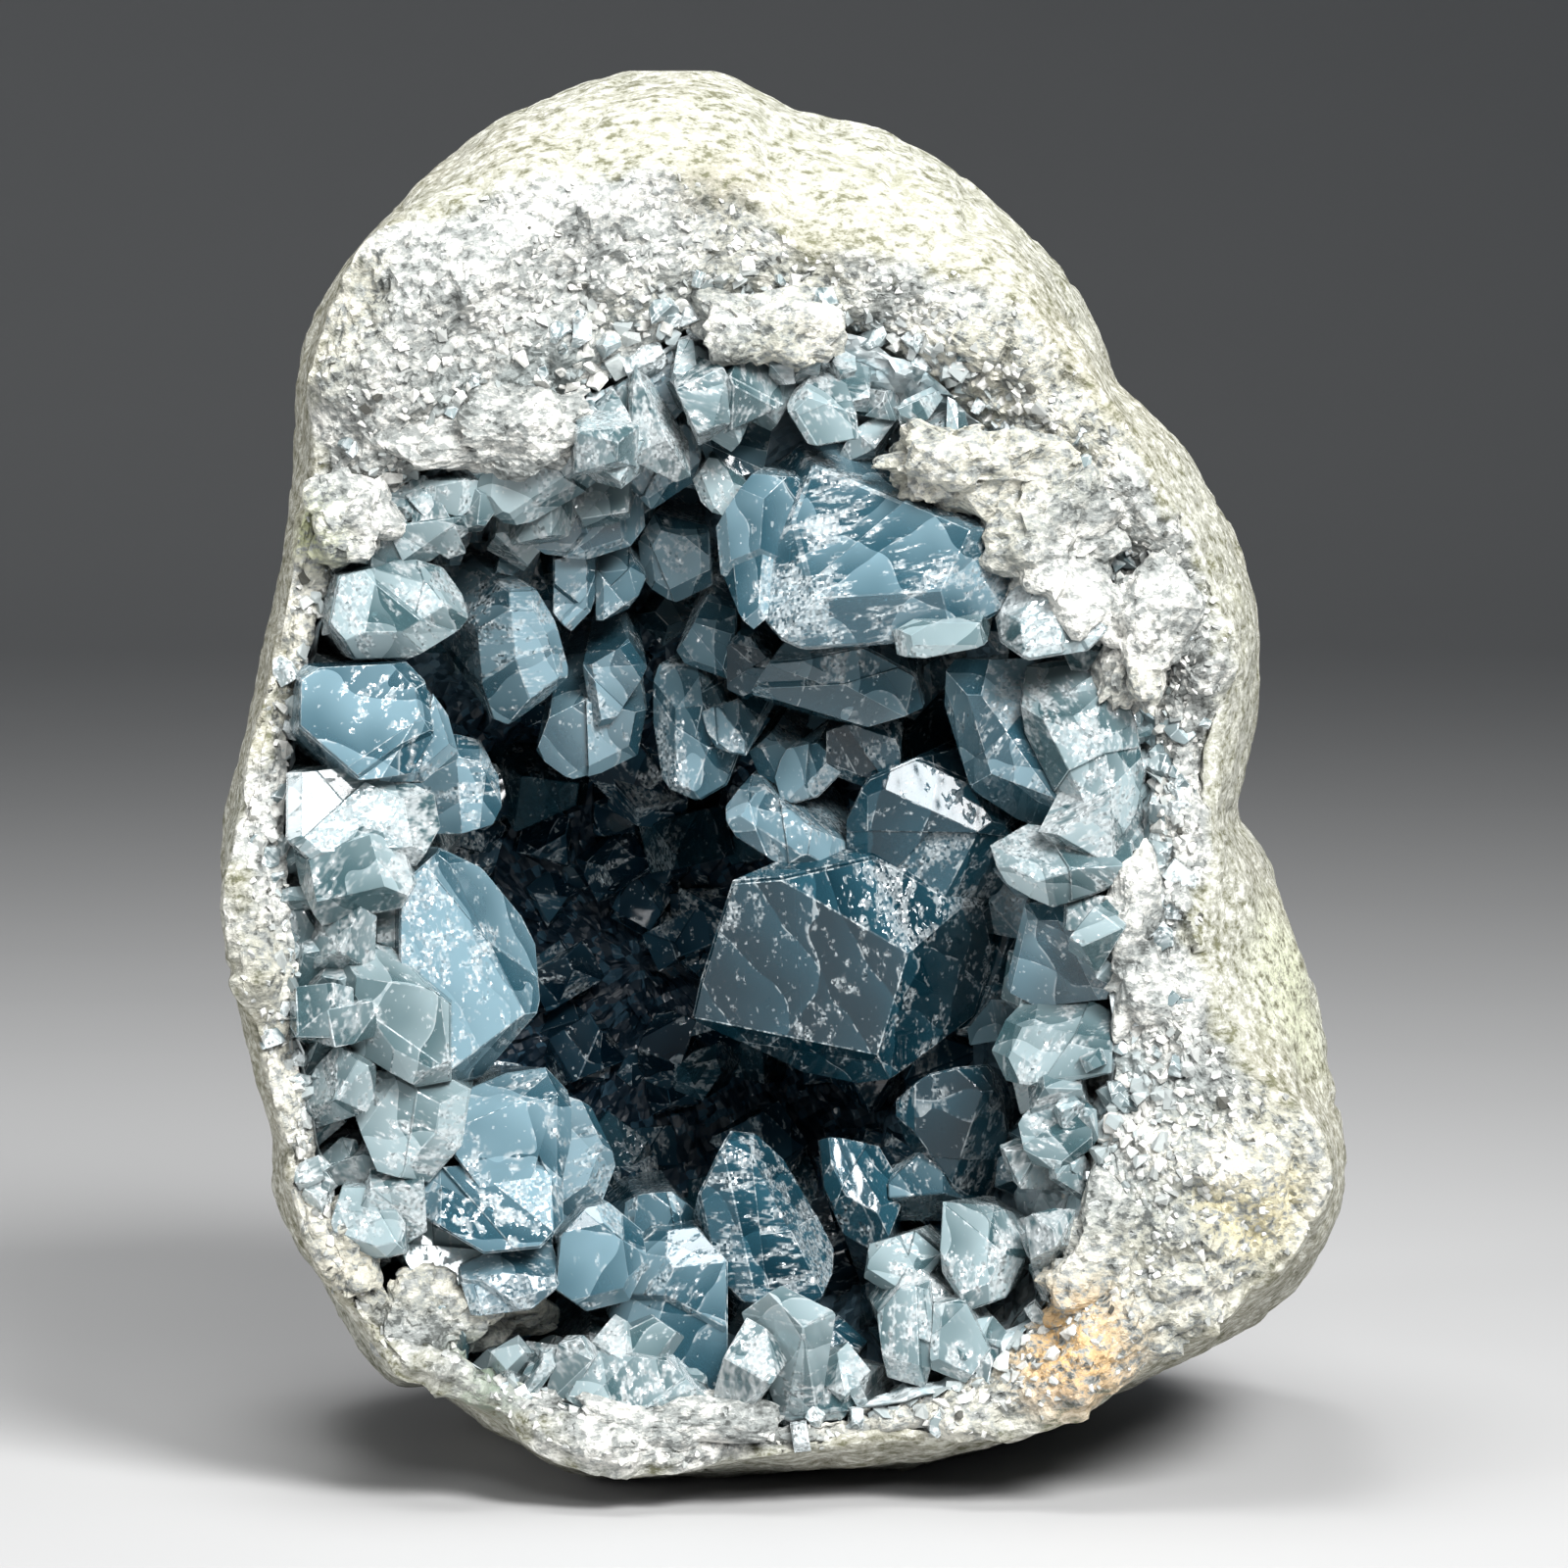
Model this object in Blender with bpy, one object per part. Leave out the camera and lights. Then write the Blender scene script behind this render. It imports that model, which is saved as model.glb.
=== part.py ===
"""A celestite geode: a boulder of pale rock with a deep hollow, and the crust of blue crystals that lines it.

Outlines are measured in a front view taken from slightly above, as (right, up) in millimetres, and a depth
in millimetres gives how far behind the view's middle plane a point lies. place() turns the three into the
stone's own frame: +X right, +Y away from the opening, +Z up, with the resting spot at Z = 0.
"""

import math
import random

import bmesh
import bpy
from mathutils import Matrix, Vector, noise

MM = 0.001

VIEW_TILT = math.radians(5.0)
VIEW_RANGE = 900.0
VIEW_MIDDLE = 74.9
MIDDLE_HEIGHT = 71.3
MIDDLE_DEPTH = -3.3

STONE_MIDDLE = (-2.0, 69.5)
HOLLOW_MIDDLE = (-15.0, 56.0)

# The stone seen from the front: its whole outline, the edge of its smooth rind and the edge of the hollow.
SILHOUETTE = [
    (50.5, 88), (48.5, 98), (41.5, 111), (35, 117), (33.5, 121), (27, 131), (17, 140), (10, 144), (2, 146),
    (-6, 149), (-12, 150), (-21, 148.5), (-34, 142.5), (-45.5, 131), (-50.5, 122), (-52, 108), (-54, 96),
    (-57, 82), (-59.5, 68), (-58.5, 55), (-54, 37), (-54.5, 32), (-48, 20), (-42, 11.5), (-37, 10.5),
    (-28, 4), (-20, 0.5), (-4, 1), (15, 2), (31, 7), (46, 14.5), (56, 23), (59.5, 32), (59, 42), (55, 57),
    (51, 67), (48.2, 71), (48.8, 76),
]
RIND_EDGE = [
    (47.5, 88), (45, 97), (38.5, 108), (30, 120), (24, 126.5), (12, 130.5), (1, 132), (-4, 138), (-13, 139.5),
    (-25, 138.5), (-34, 136), (-42, 131.5), (-47.5, 123), (-50, 110), (-53, 94), (-56, 80), (-58, 66),
    (-57, 52), (-53, 37), (-53, 31), (-47, 20), (-41, 13), (-35, 10.5), (-27, 5.5), (-17, 2.5), (3, 3),
    (18, 4.5), (36, 11), (48, 18), (56, 28), (56.5, 37), (48, 47.5), (44, 55), (45, 64), (46, 72), (47, 80),
]
MOUTH = [
    (39, 85), (36, 95), (30, 103), (21, 113), (12, 120), (3, 124), (-10, 122.5), (-18, 117), (-26, 113),
    (-36, 109), (-44.5, 104), (-48, 96), (-50.5, 86), (-53, 74), (-53.5, 62), (-51.5, 46), (-48, 30),
    (-42, 19), (-34, 13), (-24, 9), (-8, 7), (8, 8), (20, 11.5), (27, 18), (31.5, 28), (34.5, 40), (36.5, 55), (39, 70),
]

# Depths of the stone's rings, from the one at the outline to the bottom of the hollow.
OUTLINE_DEPTH = -8.0
RIND_EDGE_DEPTH = -37.0
HOLLOW_DEPTH = 29.0
BACK_DEPTH = 52.0
FACE_LEAN = 4.5
FACE_INSET = 2.0
FACE_BULGE = 4.0
FACE_WIDTH = 20.0
FACE_LEAN_UP = 0.8
FACE_LEAN_RIGHT = 0.5
FACE_WAVES = ((3, 1.3, 0.6), (5, 0.8, 0.0))
SHOULDER = math.radians(66.0)

# How square the boulder's sections are, as the power of a superellipse (2 is round).
BACK_POWER = 2.2
RESTING_POWER_GAIN = 1.3
HOLLOW_POWER = 2.3
HOLLOW_FLOOR_LOSS = 0.3
HOLLOW_ROOF_LOSS = 0.9
HOLLOW_ROOF_ANGLE = math.radians(60.0)

COLUMNS = 54
BACK_ROWS = 9
SHOULDER_ROWS = 4
FACE_ROWS = 4
HOLLOW_ROWS = 6

RIND_RELIEF = 0.9
FACE_RELIEF = 2.8
HOLLOW_RELIEF = 1.2
BED_RELIEF = 1.4
LUMP_SPAN = 26.0
LUMP_SHARE = 1.3
KNOB_SPAN = 11.0
KNOB_SHARE = 0.65
LEDGE_SPAN = 6.5
LEDGE_SHARE = 0.9
LEDGE_SHIFT = Vector((7, 3, 5))
BED_SPAN = 7.0
BED_SHIFT = Vector((1, 9, 4))

CRUST_BITE = 2.0
CRUST_THICKNESS = 5.0
CRUST_EDGE = 1.5
CRUST_COLUMNS = 36
CRUST_ROWS = 6
CLEARANCE = 0.36
MOULD_GROWTH = 20.0
RIM_CRYSTALS = 38
RIM_CRYSTAL_SIZE = (3.5, 6.5)
WALL_CRYSTALS = 27
WALL_CRYSTAL_SIZE = (5.0, 10.0)
SEED = 11
ROOT_STEP = 0.5
ROOT_LIMIT = 60.0

# Each large crystal as it is seen from the front: the depth of its front face, how that face slopes to the
# right and upwards, and its outline. The root runs back from it into the crust.
BACK = (0.0, 1.0, 0.0)
CRYSTALS = {
    "roof_glass": (-34, (0.15, -0.25), (-0.2, 0.7, 0.6), [
        (-33.5, 105.5), (-29.5, 101.5), (-26.5, 101.5), (-21.5, 104), (-17, 107), (-14, 111.5), (-17, 115),
        (-26.5, 116.5), (-33, 112)]),
    "roof_grey": (-36, (0.2, -0.2), BACK, [
        (-45, 102), (-33.5, 103.5), (-33.5, 101), (-37, 98.5), (-44.5, 98)]),
    "glass_round": (-39, (0.25, 0.1), (-0.5, 0.8, 0.0), [
        (-47, 97), (-39, 99), (-34, 97.5), (-31.5, 94), (-33, 91), (-38, 88), (-45, 88), (-48, 92)]),
    "stepped_blue": (-41, (0.1, 0.35), (-0.35, 0.8, 0.0), [
        (-51.5, 87), (-39.5, 87.5), (-37.5, 85.5), (-36.5, 80), (-39, 76), (-45, 75.5), (-51.5, 81)]),
    "stepped_low": (-38, (0.3, 0.2), (-0.4, 0.8, 0.0), [
        (-39, 86), (-35.5, 82), (-34.5, 78), (-38, 75), (-43, 75), (-43, 82)]),
    "green_back": (-20, (0.2, 0.1), (-0.8, 0.6, 0.0), [
        (-34.5, 80.5), (-30.5, 79.5), (-28.5, 75.5), (-31, 70.5), (-36.5, 69), (-37, 76)]),
    "ice_white": (-41, (0.15, 0.25), (-0.1, 1.0, 0.0), [
        (-53, 76), (-42, 77), (-37.5, 75), (-36.5, 70), (-39, 66), (-49, 65.5), (-53, 69)]),
    "cloudy_block": (-43, (-0.1, 0.2), (0.05, 1.0, 0.0), [
        (-53, 69), (-47, 71), (-41, 69), (-39.5, 64), (-41, 61.5), (-49.5, 59.5), (-52, 64)]),
    "left_tip": (-39, (0.12, 0.12), (-0.3, 0.9, 0.0), [
        (-41, 64), (-36.5, 68), (-31, 65.5), (-26, 60), (-24.5, 57), (-25, 51.5), (-30, 43), (-35.5, 42),
        (-41, 49)]),
    "veined": (-43, (-0.2, 0.12), (0.0, 1.0, 0.0), [
        (-50, 58), (-42, 57), (-35.5, 51.5), (-35.5, 43), (-39, 42.5), (-46, 46), (-50.5, 52)]),
    "edge_dark_a": (-38, (-0.3, 0.0), (0.15, 1.0, 0.0), [
        (-54.5, 62), (-51.5, 63), (-49, 58), (-50, 54.5), (-53.5, 55.5)]),
    "edge_dark_b": (-38, (-0.3, 0.1), (0.15, 1.0, 0.0), [
        (-52.5, 54), (-49.5, 52), (-47.5, 46), (-49, 41), (-51.5, 42), (-53, 48)]),
    "violet_block": (-38, (0.15, 0.1), (-0.2, 0.9, -0.1), [
        (-34, 42), (-29, 44), (-25, 44.5), (-22.5, 42), (-22.5, 37), (-24, 31), (-32, 31), (-36, 36.5)]),
    "striped_block": (-42, (-0.15, 0.1), (0.0, 1.0, 0.0), [
        (-46.5, 40.5), (-44, 44), (-37.5, 44), (-33.5, 42), (-34.5, 36), (-38, 32), (-43.5, 33.5)]),
    "under_block": (-40, (0.1, 0.5), (-0.1, 1.0, -0.1), [
        (-39, 33.5), (-31.5, 34), (-23.5, 33.5), (-23.5, 28), (-26, 25.5), (-32, 25), (-39, 29)]),
    "striated_point": (-26, (0.3, 0.0), (-0.6, 0.8, -0.1), [
        (-24, 42), (-20, 40.5), (-17, 34), (-18.5, 30), (-25, 25.5), (-27, 34)]),
    "small_pale": (-42, (-0.1, 0.1), (0.1, 1.0, 0.1), [
        (-47.5, 31.5), (-43, 31.5), (-40.5, 28), (-40.5, 24.5), (-44.5, 23.5), (-47.5, 24.5), (-48.5, 28)]),
    "pale_grey": (-40, (0.1, 0.3), (0.0, 1.0, 0.1), [
        (-35, 22.5), (-29, 25), (-25, 24.5), (-23.5, 21.5), (-27, 18.5), (-33.5, 18)]),
    "pale_block": (-38, (0.15, 0.1), (-0.1, 1.0, -0.1), [
        (-24, 26.5), (-21, 29.5), (-18.5, 30), (-15, 27), (-14.5, 23.5), (-16.5, 19.5), (-21, 18.5),
        (-24.5, 21)]),
    "tall_grey": (-35, (-0.1, 0.2), (-0.1, 1.0, 0.0), [
        (-16.5, 24), (-13.5, 26.5), (-9, 27), (-6, 24), (-6, 7), (-10.5, 5.5), (-16.5, 8), (-18.5, 17.5)]),
    "round_grey": (-41, (0.0, 0.2), (0.0, 1.0, 0.1), [
        (-25.5, 10), (-21, 14), (-12.5, 13), (-7, 8), (-7, 4.5), (-15.5, 4), (-23, 5.5)]),
    "tablet": (-33, (0.2, 0.15), (-0.1, 0.9, -0.5), [
        (-5.5, 38.5), (-2.5, 38.5), (0.5, 37), (4, 31.5), (6, 27.5), (5.5, 23.5), (4, 20), (0.5, 18),
        (-4.5, 20), (-7, 23), (-9, 32)]),
    "navy_right": (-20, (-0.25, -0.1), (0.6, 0.8, -0.1), [
        (11, 41), (15.5, 44), (21, 45.5), (22.5, 42), (22.5, 35.5), (20.5, 29.5), (15, 31), (11, 36.5)]),
    "ledge_grey": (-35, (-0.3, 0.2), (0.5, 0.8, 0.0), [
        (21.5, 46), (24, 51.5), (29, 52.5), (35, 51.5), (37.5, 48), (35.5, 44), (29, 42.5), (23, 43)]),
    "dark_grey": (-32, (-0.2, -0.1), (0.5, 0.8, 0.0), [
        (25, 62), (34.5, 62), (36.5, 58), (34.5, 52), (27, 51), (23, 53)]),
    "oval_clear": (-36, (-0.2, 0.1), (0.4, 0.9, 0.0), [
        (25, 38.5), (26.5, 41), (30, 41.5), (33, 39.5), (33, 36), (29.5, 33.5), (26, 34)]),
    "navy_behind": (-14, (-0.3, 0.0), (0.8, 0.6, 0.0), [
        (18.5, 59), (24, 62), (25.5, 58), (22, 47), (19.5, 46), (17, 49)]),
    "centre_block": (-25, (0.05, -0.22), (0.75, 0.75, 0.25), [
        (-5.5, 65), (7.5, 66), (18.5, 59.5), (18.5, 55), (16, 46.5), (10, 42), (5.5, 41), (-1.5, 42.5),
        (-10, 49.5), (-9, 54)]),
    "grey_arrow": (-20, (-0.2, 0.1), (0.1, 0.8, 0.5), [
        (-8.5, 93.5), (-5, 92.5), (-5, 89.5), (-6, 85.5), (-10.5, 87), (-11.5, 88.5)]),
    "long_grey": (-22, (-0.2, 0.1), (0.3, 0.9, 0.4), [
        (-15, 86.5), (-10.5, 87), (-9, 84.5), (-5.5, 77), (-7, 73), (-10, 72.5), (-13.5, 74.5),
        (-15, 80.5)]),
    "bright_sliver": (-23, (-0.3, 0.5), (0.3, 0.8, 0.4), [
        (-9, 83), (-7.5, 83.5), (-4, 79.5), (-4, 78), (-7.5, 78.5)]),
    "shell_grey": (-24, (-0.1, 0.3), (0.4, 0.8, 0.3), [
        (-7.5, 72), (-5.5, 75), (-3, 76), (1.5, 73), (5, 68.5), (4.5, 65), (-2, 66), (-6, 68.5)]),
    "mid_grey": (-22, (-0.3, 0.2), (0.4, 0.8, 0.3), [
        (-1, 76), (0.5, 78.5), (4.5, 79.5), (6, 76), (3, 73), (0, 72.5)]),
    "small_blue": (-21, (-0.2, 0.1), (0.2, 0.9, 0.3), [
        (-4, 78), (-1.5, 80), (1, 78), (-0.5, 74.5), (-3, 75.5)]),
    "brow_block": (-39, (-0.12, 0.42), (0.25, 0.8, 0.35), [
        (-6, 99), (-3, 107), (2.5, 111.5), (10.5, 112), (19, 108.5), (25, 103), (26.5, 99), (22, 92),
        (20.5, 89), (8, 87.5), (0.5, 87), (-3.5, 90)]),
    "brow_step": (-36, (-0.45, 0.2), (0.25, 0.8, 0.35), [
        (-7.5, 101.5), (-3.5, 107.5), (1, 107), (0, 94), (-3.5, 91), (-7, 96.5)]),
    "brow_foot": (-42, (0.0, 0.1), (0.2, 0.9, 0.2), [
        (11, 90.5), (13.5, 92), (21, 92), (21.5, 89.5), (15, 88), (11.5, 88)]),
    "white_crumb": (-39, (0.1, 0.3), (0.0, 1.0, 0.1), [
        (22.5, 92), (26.5, 100), (32, 97.5), (35, 92), (32.5, 89), (26, 88), (23, 89.5)]),
    "tabular": (-29, (-0.1, -0.45), (0.25, 0.8, 0.3), [
        (-4, 84), (-1.5, 88), (8.5, 89), (14, 86), (15, 83), (8.5, 81), (2.5, 80.5), (-2.5, 82)]),
    "right_large": (-33, (-0.25, -0.1), (0.6, 0.8, 0.0), [
        (15, 83), (16.5, 88), (25, 88), (28, 81), (33, 74), (33.5, 65.5), (22.5, 69.5), (18, 73.5)]),
    "right_tooth": (-37, (-0.1, 0.05), (0.2, 1.0, 0.0), [
        (24.5, 87), (31.5, 88), (37.5, 82), (38.5, 76), (37.5, 71), (33.5, 65.5), (29, 72), (25, 80)]),
    "bright_tip": (-38, (-0.1, 0.3), (0.2, 1.0, 0.0), [
        (21.5, 68), (25, 70), (33.5, 69), (37.5, 68.5), (37.5, 65), (33, 63), (28, 61.5), (23.5, 64)]),
    "navy_block": (-24, (-0.15, -0.25), (0.6, 0.8, 0.2), [
        (5.5, 70.5), (8.5, 75.5), (13, 77.5), (18.5, 75), (23, 70), (23, 65), (21, 61), (15, 61), (9, 62),
        (5.5, 66)]),
    "teal_small": (-23, (0.0, -0.1), (0.3, 0.9, 0.2), [
        (4.5, 80.5), (9, 82), (12, 81), (13, 77), (8.5, 74), (4.5, 75.5)]),
    "pale_teal": (-37, (-0.2, 0.2), (0.3, 1.0, -0.1), [
        (17, 30), (23, 29.5), (26, 25), (23.5, 20), (19.5, 18.5), (16.5, 22.5)]),
    "clear_low": (-33, (-0.1, 0.2), (0.1, 1.0, -0.1), [
        (9, 25.5), (14, 27), (17, 24.5), (15, 21.5), (11, 20.5), (8.5, 22)]),
    "pillar_a": (-37, (-0.2, 0.1), (0.1, 1.0, 0.0), [
        (10, 18), (12.5, 21), (15.5, 21.5), (16.5, 15.5), (15, 10), (11, 11)]),
    "pillar_b": (-38, (-0.1, 0.2), (0.1, 1.0, 0.1), [
        (16, 20), (19.5, 19.5), (22, 14.5), (19.5, 10), (15.5, 12)]),
    "teal_floor": (-29, (0.0, 0.4), (0.0, 0.9, -0.3), [
        (-4.5, 18), (0, 20), (5, 19), (9, 15.5), (6.5, 12), (0, 11), (-4, 13)]),
    "floor_blue": (-20, (0.1, 0.4), (0.1, 0.9, -0.4), [
        (3.5, 37), (10, 36.5), (13, 31.5), (10.5, 25.5), (6, 28), (4, 32)]),
    "floor_violet": (-27, (-0.1, 0.35), (0.0, 0.9, -0.4), [
        (-17, 30.5), (-12, 31.5), (-8.5, 29), (-8, 24.5), (-14, 23), (-17.5, 26)]),
    "lit_facet": (-6, (-0.3, 0.3), (0.2, 0.9, 0.0), [
        (-12, 45.5), (-7.5, 47), (-7, 44), (-9, 41), (-12, 42)]),
    "small_clear": (-38, (0.0, 0.2), (0.0, 1.0, 0.0), [
        (1, 10), (4, 13), (7, 12), (8, 9), (6.5, 6), (2, 6.5)]),
    "pointed_a": (-25, (0.3, -0.1), (-0.4, 0.7, 0.5), [
        (-31.5, 90), (-28.5, 95), (-25.5, 95), (-23.5, 91.5), (-22, 86), (-24, 82), (-27.5, 79.5),
        (-29.5, 79.5), (-31, 84)]),
    "pointed_b": (-22, (0.2, -0.1), (-0.2, 0.8, 0.4), [
        (-24.5, 93), (-24.5, 99), (-19.5, 99.5), (-19.5, 94), (-22.5, 90.5)]),
    "blue_a": (-19, (-0.1, 0.0), (0.0, 0.8, 0.3), [
        (-20, 99), (-16.5, 99.5), (-14.5, 96.5), (-16.5, 93), (-20, 92)]),
    "blue_b": (-18, (-0.2, -0.1), (0.1, 0.8, 0.4), [
        (-16, 100), (-14, 103.5), (-8, 102), (-7.5, 95.5), (-11.5, 93.5), (-15.5, 96)]),
    "blue_c": (-19, (0.1, -0.1), (0.0, 0.8, 0.3), [
        (-21.5, 87), (-16.5, 90), (-14.5, 87), (-18.5, 81), (-20.5, 80.5)]),
    "dark_mass": (-17, (0.1, -0.2), (0.0, 0.8, 0.5), [
        (-26.5, 78), (-25, 82), (-21, 84), (-14.5, 82.5), (-15.5, 77.5), (-19.5, 75.5), (-22.5, 75)]),
    "glass_small": (-29, (-0.1, 0.3), (0.1, 0.8, 0.5), [
        (-10, 106.5), (-8, 109.5), (-5, 109), (-4, 106.5), (-6.5, 103), (-9, 104)]),
    "roof_a": (-30, (0.1, -0.2), (0.0, 0.8, 0.5), [
        (-18.5, 118), (-15.5, 122), (-10.5, 122), (-8.5, 116.5), (-11.5, 113), (-16.5, 114)]),
    "roof_b": (-27, (0.1, -0.1), (0.0, 0.7, 0.6), [
        (-16.5, 112.5), (-11.5, 114), (-8.5, 111), (-9.5, 106), (-14, 103), (-17, 106)]),
    "roof_c": (-25, (0.2, -0.2), (-0.1, 0.7, 0.6), [
        (-27, 101), (-21, 105), (-15, 106.5), (-14.5, 100), (-21, 98), (-25.5, 98.5)]),
    "roof_d": (-36, (-0.1, 0.1), (0.0, 0.8, 0.5), [
        (0, 114.5), (3, 117.5), (7.5, 116), (8, 111.5), (2.5, 110.5)]),
    "between": (-22, (-0.2, -0.1), (0.1, 0.9, 0.3), [
        (-6, 91), (-3.5, 90.5), (0, 86.5), (-4, 83.5), (-6, 85)]),
}
FLATNESS = math.radians(0.2)
BEVEL_SHARE = 0.45
BEVEL_WIDTH = (0.08, 0.24)
BEVEL_STEEPNESS = (28.0, 58.0)


def place(right, up, depth):
    """Turns a point of the front view, at a depth behind its middle plane, into the stone's frame."""
    nearness = 1.0 + depth / VIEW_RANGE
    across = right * nearness
    height = (up - VIEW_MIDDLE) * nearness - depth * math.sin(VIEW_TILT)
    return Vector((across, depth + MIDDLE_DEPTH, MIDDLE_HEIGHT + height / math.cos(VIEW_TILT))) * MM


def polar(outline, middle):
    """Gives an outline as (angle, radius) about a middle point, sorted by angle."""
    points = []
    for right, up in outline:
        across, above = right - middle[0], up - middle[1]
        points.append((math.atan2(above, across) % math.tau, math.hypot(across, above)))
    return sorted(points)


def radius_at(points, angle):
    """Reads a smooth closed curve through polar points, as a cubic with the slopes of its neighbours."""
    angle %= math.tau
    count = len(points)
    after = next((i for i, (a, r) in enumerate(points) if a > angle), 0)
    angles, radii = [], []
    for step in (-2, -1, 0, 1):
        index = after + step
        a, r = points[index % count]
        angles.append(a + math.tau * (index // count))
        radii.append(r)
    if angles[1] > angle:
        angle += math.tau
    elif angles[2] < angle:
        angle -= math.tau
    span = angles[2] - angles[1]
    t = (angle - angles[1]) / span
    slope_in = (radii[2] - radii[0]) / (angles[2] - angles[0]) * span
    slope_out = (radii[3] - radii[1]) / (angles[3] - angles[1]) * span
    return ((2 * t**3 - 3 * t**2 + 1) * radii[1] + (t**3 - 2 * t**2 + t) * slope_in
            + (3 * t**2 - 2 * t**3) * radii[2] + (t**3 - t**2) * slope_out)


def ring_point(angle, radius, depth, middle=STONE_MIDDLE):
    """A point of the stone at an angle and radius about a middle, in the front view."""
    return (middle[0] + radius * math.cos(angle), middle[1] + radius * math.sin(angle), depth)


OUTLINE_CURVE = polar(SILHOUETTE, STONE_MIDDLE)
RIND_CURVE = polar(RIND_EDGE, STONE_MIDDLE)
MOUTH_CURVE = polar(MOUTH, STONE_MIDDLE)


def face_depths(angle):
    """Depths of the rind's edge and of the mouth: the broken face leans back to the top and the right."""
    rind = RIND_EDGE_DEPTH + FACE_LEAN * (FACE_LEAN_UP * math.sin(angle) + FACE_LEAN_RIGHT * math.cos(angle))
    for count, height, start in FACE_WAVES:
        rind += height * math.sin(count * angle + start)
    return rind, rind + FACE_INSET


def back_radius(angle, depth):
    """Radius of the rind behind the outline's ring: a rounded boulder, squarer where it rests."""
    power = BACK_POWER + RESTING_POWER_GAIN * max(0.0, -math.sin(angle))
    share = min(1.0, (depth - OUTLINE_DEPTH) / (BACK_DEPTH - OUTLINE_DEPTH))
    return radius_at(OUTLINE_CURVE, angle) * (1.0 - share**power) ** (1.0 / power)


def hollow_ring(angle, share, inset=0.0):
    """Radius, depth and middle of the hollow's wall, or of a surface inside it, from its mouth to its bottom.

    The roof and the right side slope to the deepest place, which lies to the left of the middle.
    """
    mouth_depth = face_depths(angle)[1]
    power = HOLLOW_POWER - HOLLOW_ROOF_LOSS * max(0.0, math.cos(angle - HOLLOW_ROOF_ANGLE))
    power -= HOLLOW_FLOOR_LOSS * max(0.0, -math.sin(angle))
    turn = math.pi / 2 * share
    radius = (radius_at(MOUTH_CURVE, angle) - inset) * max(0.0, math.cos(turn)) ** (2.0 / power)
    forward = math.sin(turn) ** (2.0 / power)
    depth = mouth_depth + (HOLLOW_DEPTH - inset - mouth_depth) * forward
    middle = tuple(a + (b - a) * forward for a, b in zip(STONE_MIDDLE, HOLLOW_MIDDLE))
    return radius, depth, middle


def stone_section(angle):
    """One section of the stone at an angle, from behind its back to the bottom of its hollow."""
    rind_depth, mouth_depth = face_depths(angle)
    outline, rind, mouth = (radius_at(c, angle) for c in (OUTLINE_CURVE, RIND_CURVE, MOUTH_CURVE))
    section = []
    for row in range(1, BACK_ROWS):
        turn = math.pi / 2 * row / BACK_ROWS
        depth = OUTLINE_DEPTH + (BACK_DEPTH - OUTLINE_DEPTH) * math.cos(turn)
        section.append((back_radius(angle, depth), depth, STONE_MIDDLE, RIND_RELIEF))
    for row in range(SHOULDER_ROWS):
        turn = SHOULDER * row / SHOULDER_ROWS
        inward = (1.0 - math.cos(turn)) / (1.0 - math.cos(SHOULDER))
        forward = math.sin(turn) / math.sin(SHOULDER)
        radius = outline + (rind - outline) * inward
        depth = OUTLINE_DEPTH + (rind_depth - OUTLINE_DEPTH) * forward
        section.append((radius, depth, STONE_MIDDLE, RIND_RELIEF))
    bulge = FACE_BULGE * min(1.0, (rind - mouth) / FACE_WIDTH)
    for row in range(FACE_ROWS):
        share = row / FACE_ROWS
        depth = rind_depth + (mouth_depth - rind_depth) * share - bulge * math.sin(math.pi * share)
        relief = FACE_RELIEF * (0.35 + 0.65 * math.sin(math.pi * min(1.0, share + 0.25)))
        section.append((rind + (mouth - rind) * share, depth, STONE_MIDDLE, relief))
    for row in range(HOLLOW_ROWS):
        section.append((*hollow_ring(angle, row / HOLLOW_ROWS), HOLLOW_RELIEF))
    return section


def grid_mesh(columns, section_of, first_pole, last_pole):
    """Builds a closed mesh from one section per column, between two poles."""
    bm = bmesh.new()
    rings, reliefs = [], {}
    for column in range(columns):
        angle = math.tau * column / columns
        ring = []
        for radius, depth, middle, relief in section_of(angle):
            vert = bm.verts.new(place(*ring_point(angle, radius, depth, middle)))
            reliefs[vert] = relief
            ring.append(vert)
        rings.append(ring)
    first = bm.verts.new(place(*first_pole))
    last = bm.verts.new(place(*last_pole))
    reliefs[first] = reliefs[rings[0][0]]
    reliefs[last] = reliefs[rings[0][-1]]
    for column in range(columns):
        here, there = rings[column], rings[(column + 1) % columns]
        bm.faces.new((first, there[0], here[0]))
        bm.faces.new((last, here[-1], there[-1]))
        for low, high in zip(range(len(here) - 1), range(1, len(here))):
            bm.faces.new((here[low], there[low], there[high], here[high]))
    bmesh.ops.recalc_face_normals(bm, faces=bm.faces)
    bm.normal_update()
    return bm, reliefs


def roughen(bm, reliefs):
    """Moves the surface along its normals by lumps and ledges, and grinds the resting spot flat.

    Its faces are then no longer flat, so they are split into triangles, which the crust is later cut to.
    """
    moved = {}
    for vert, relief in reliefs.items():
        spot = vert.co / MM
        lift = noise.noise(spot / LUMP_SPAN) * LUMP_SHARE + noise.noise(spot / KNOB_SPAN) * KNOB_SHARE
        rough = min(1.0, relief / FACE_RELIEF)
        lift += noise.noise(spot / LEDGE_SPAN + LEDGE_SHIFT) * LEDGE_SHARE * rough
        moved[vert] = vert.co + vert.normal * relief * lift * MM
    for vert, spot in moved.items():
        vert.co = spot
        vert.co.z = max(0.0, vert.co.z)
    bmesh.ops.triangulate(bm, faces=bm.faces)


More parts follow.
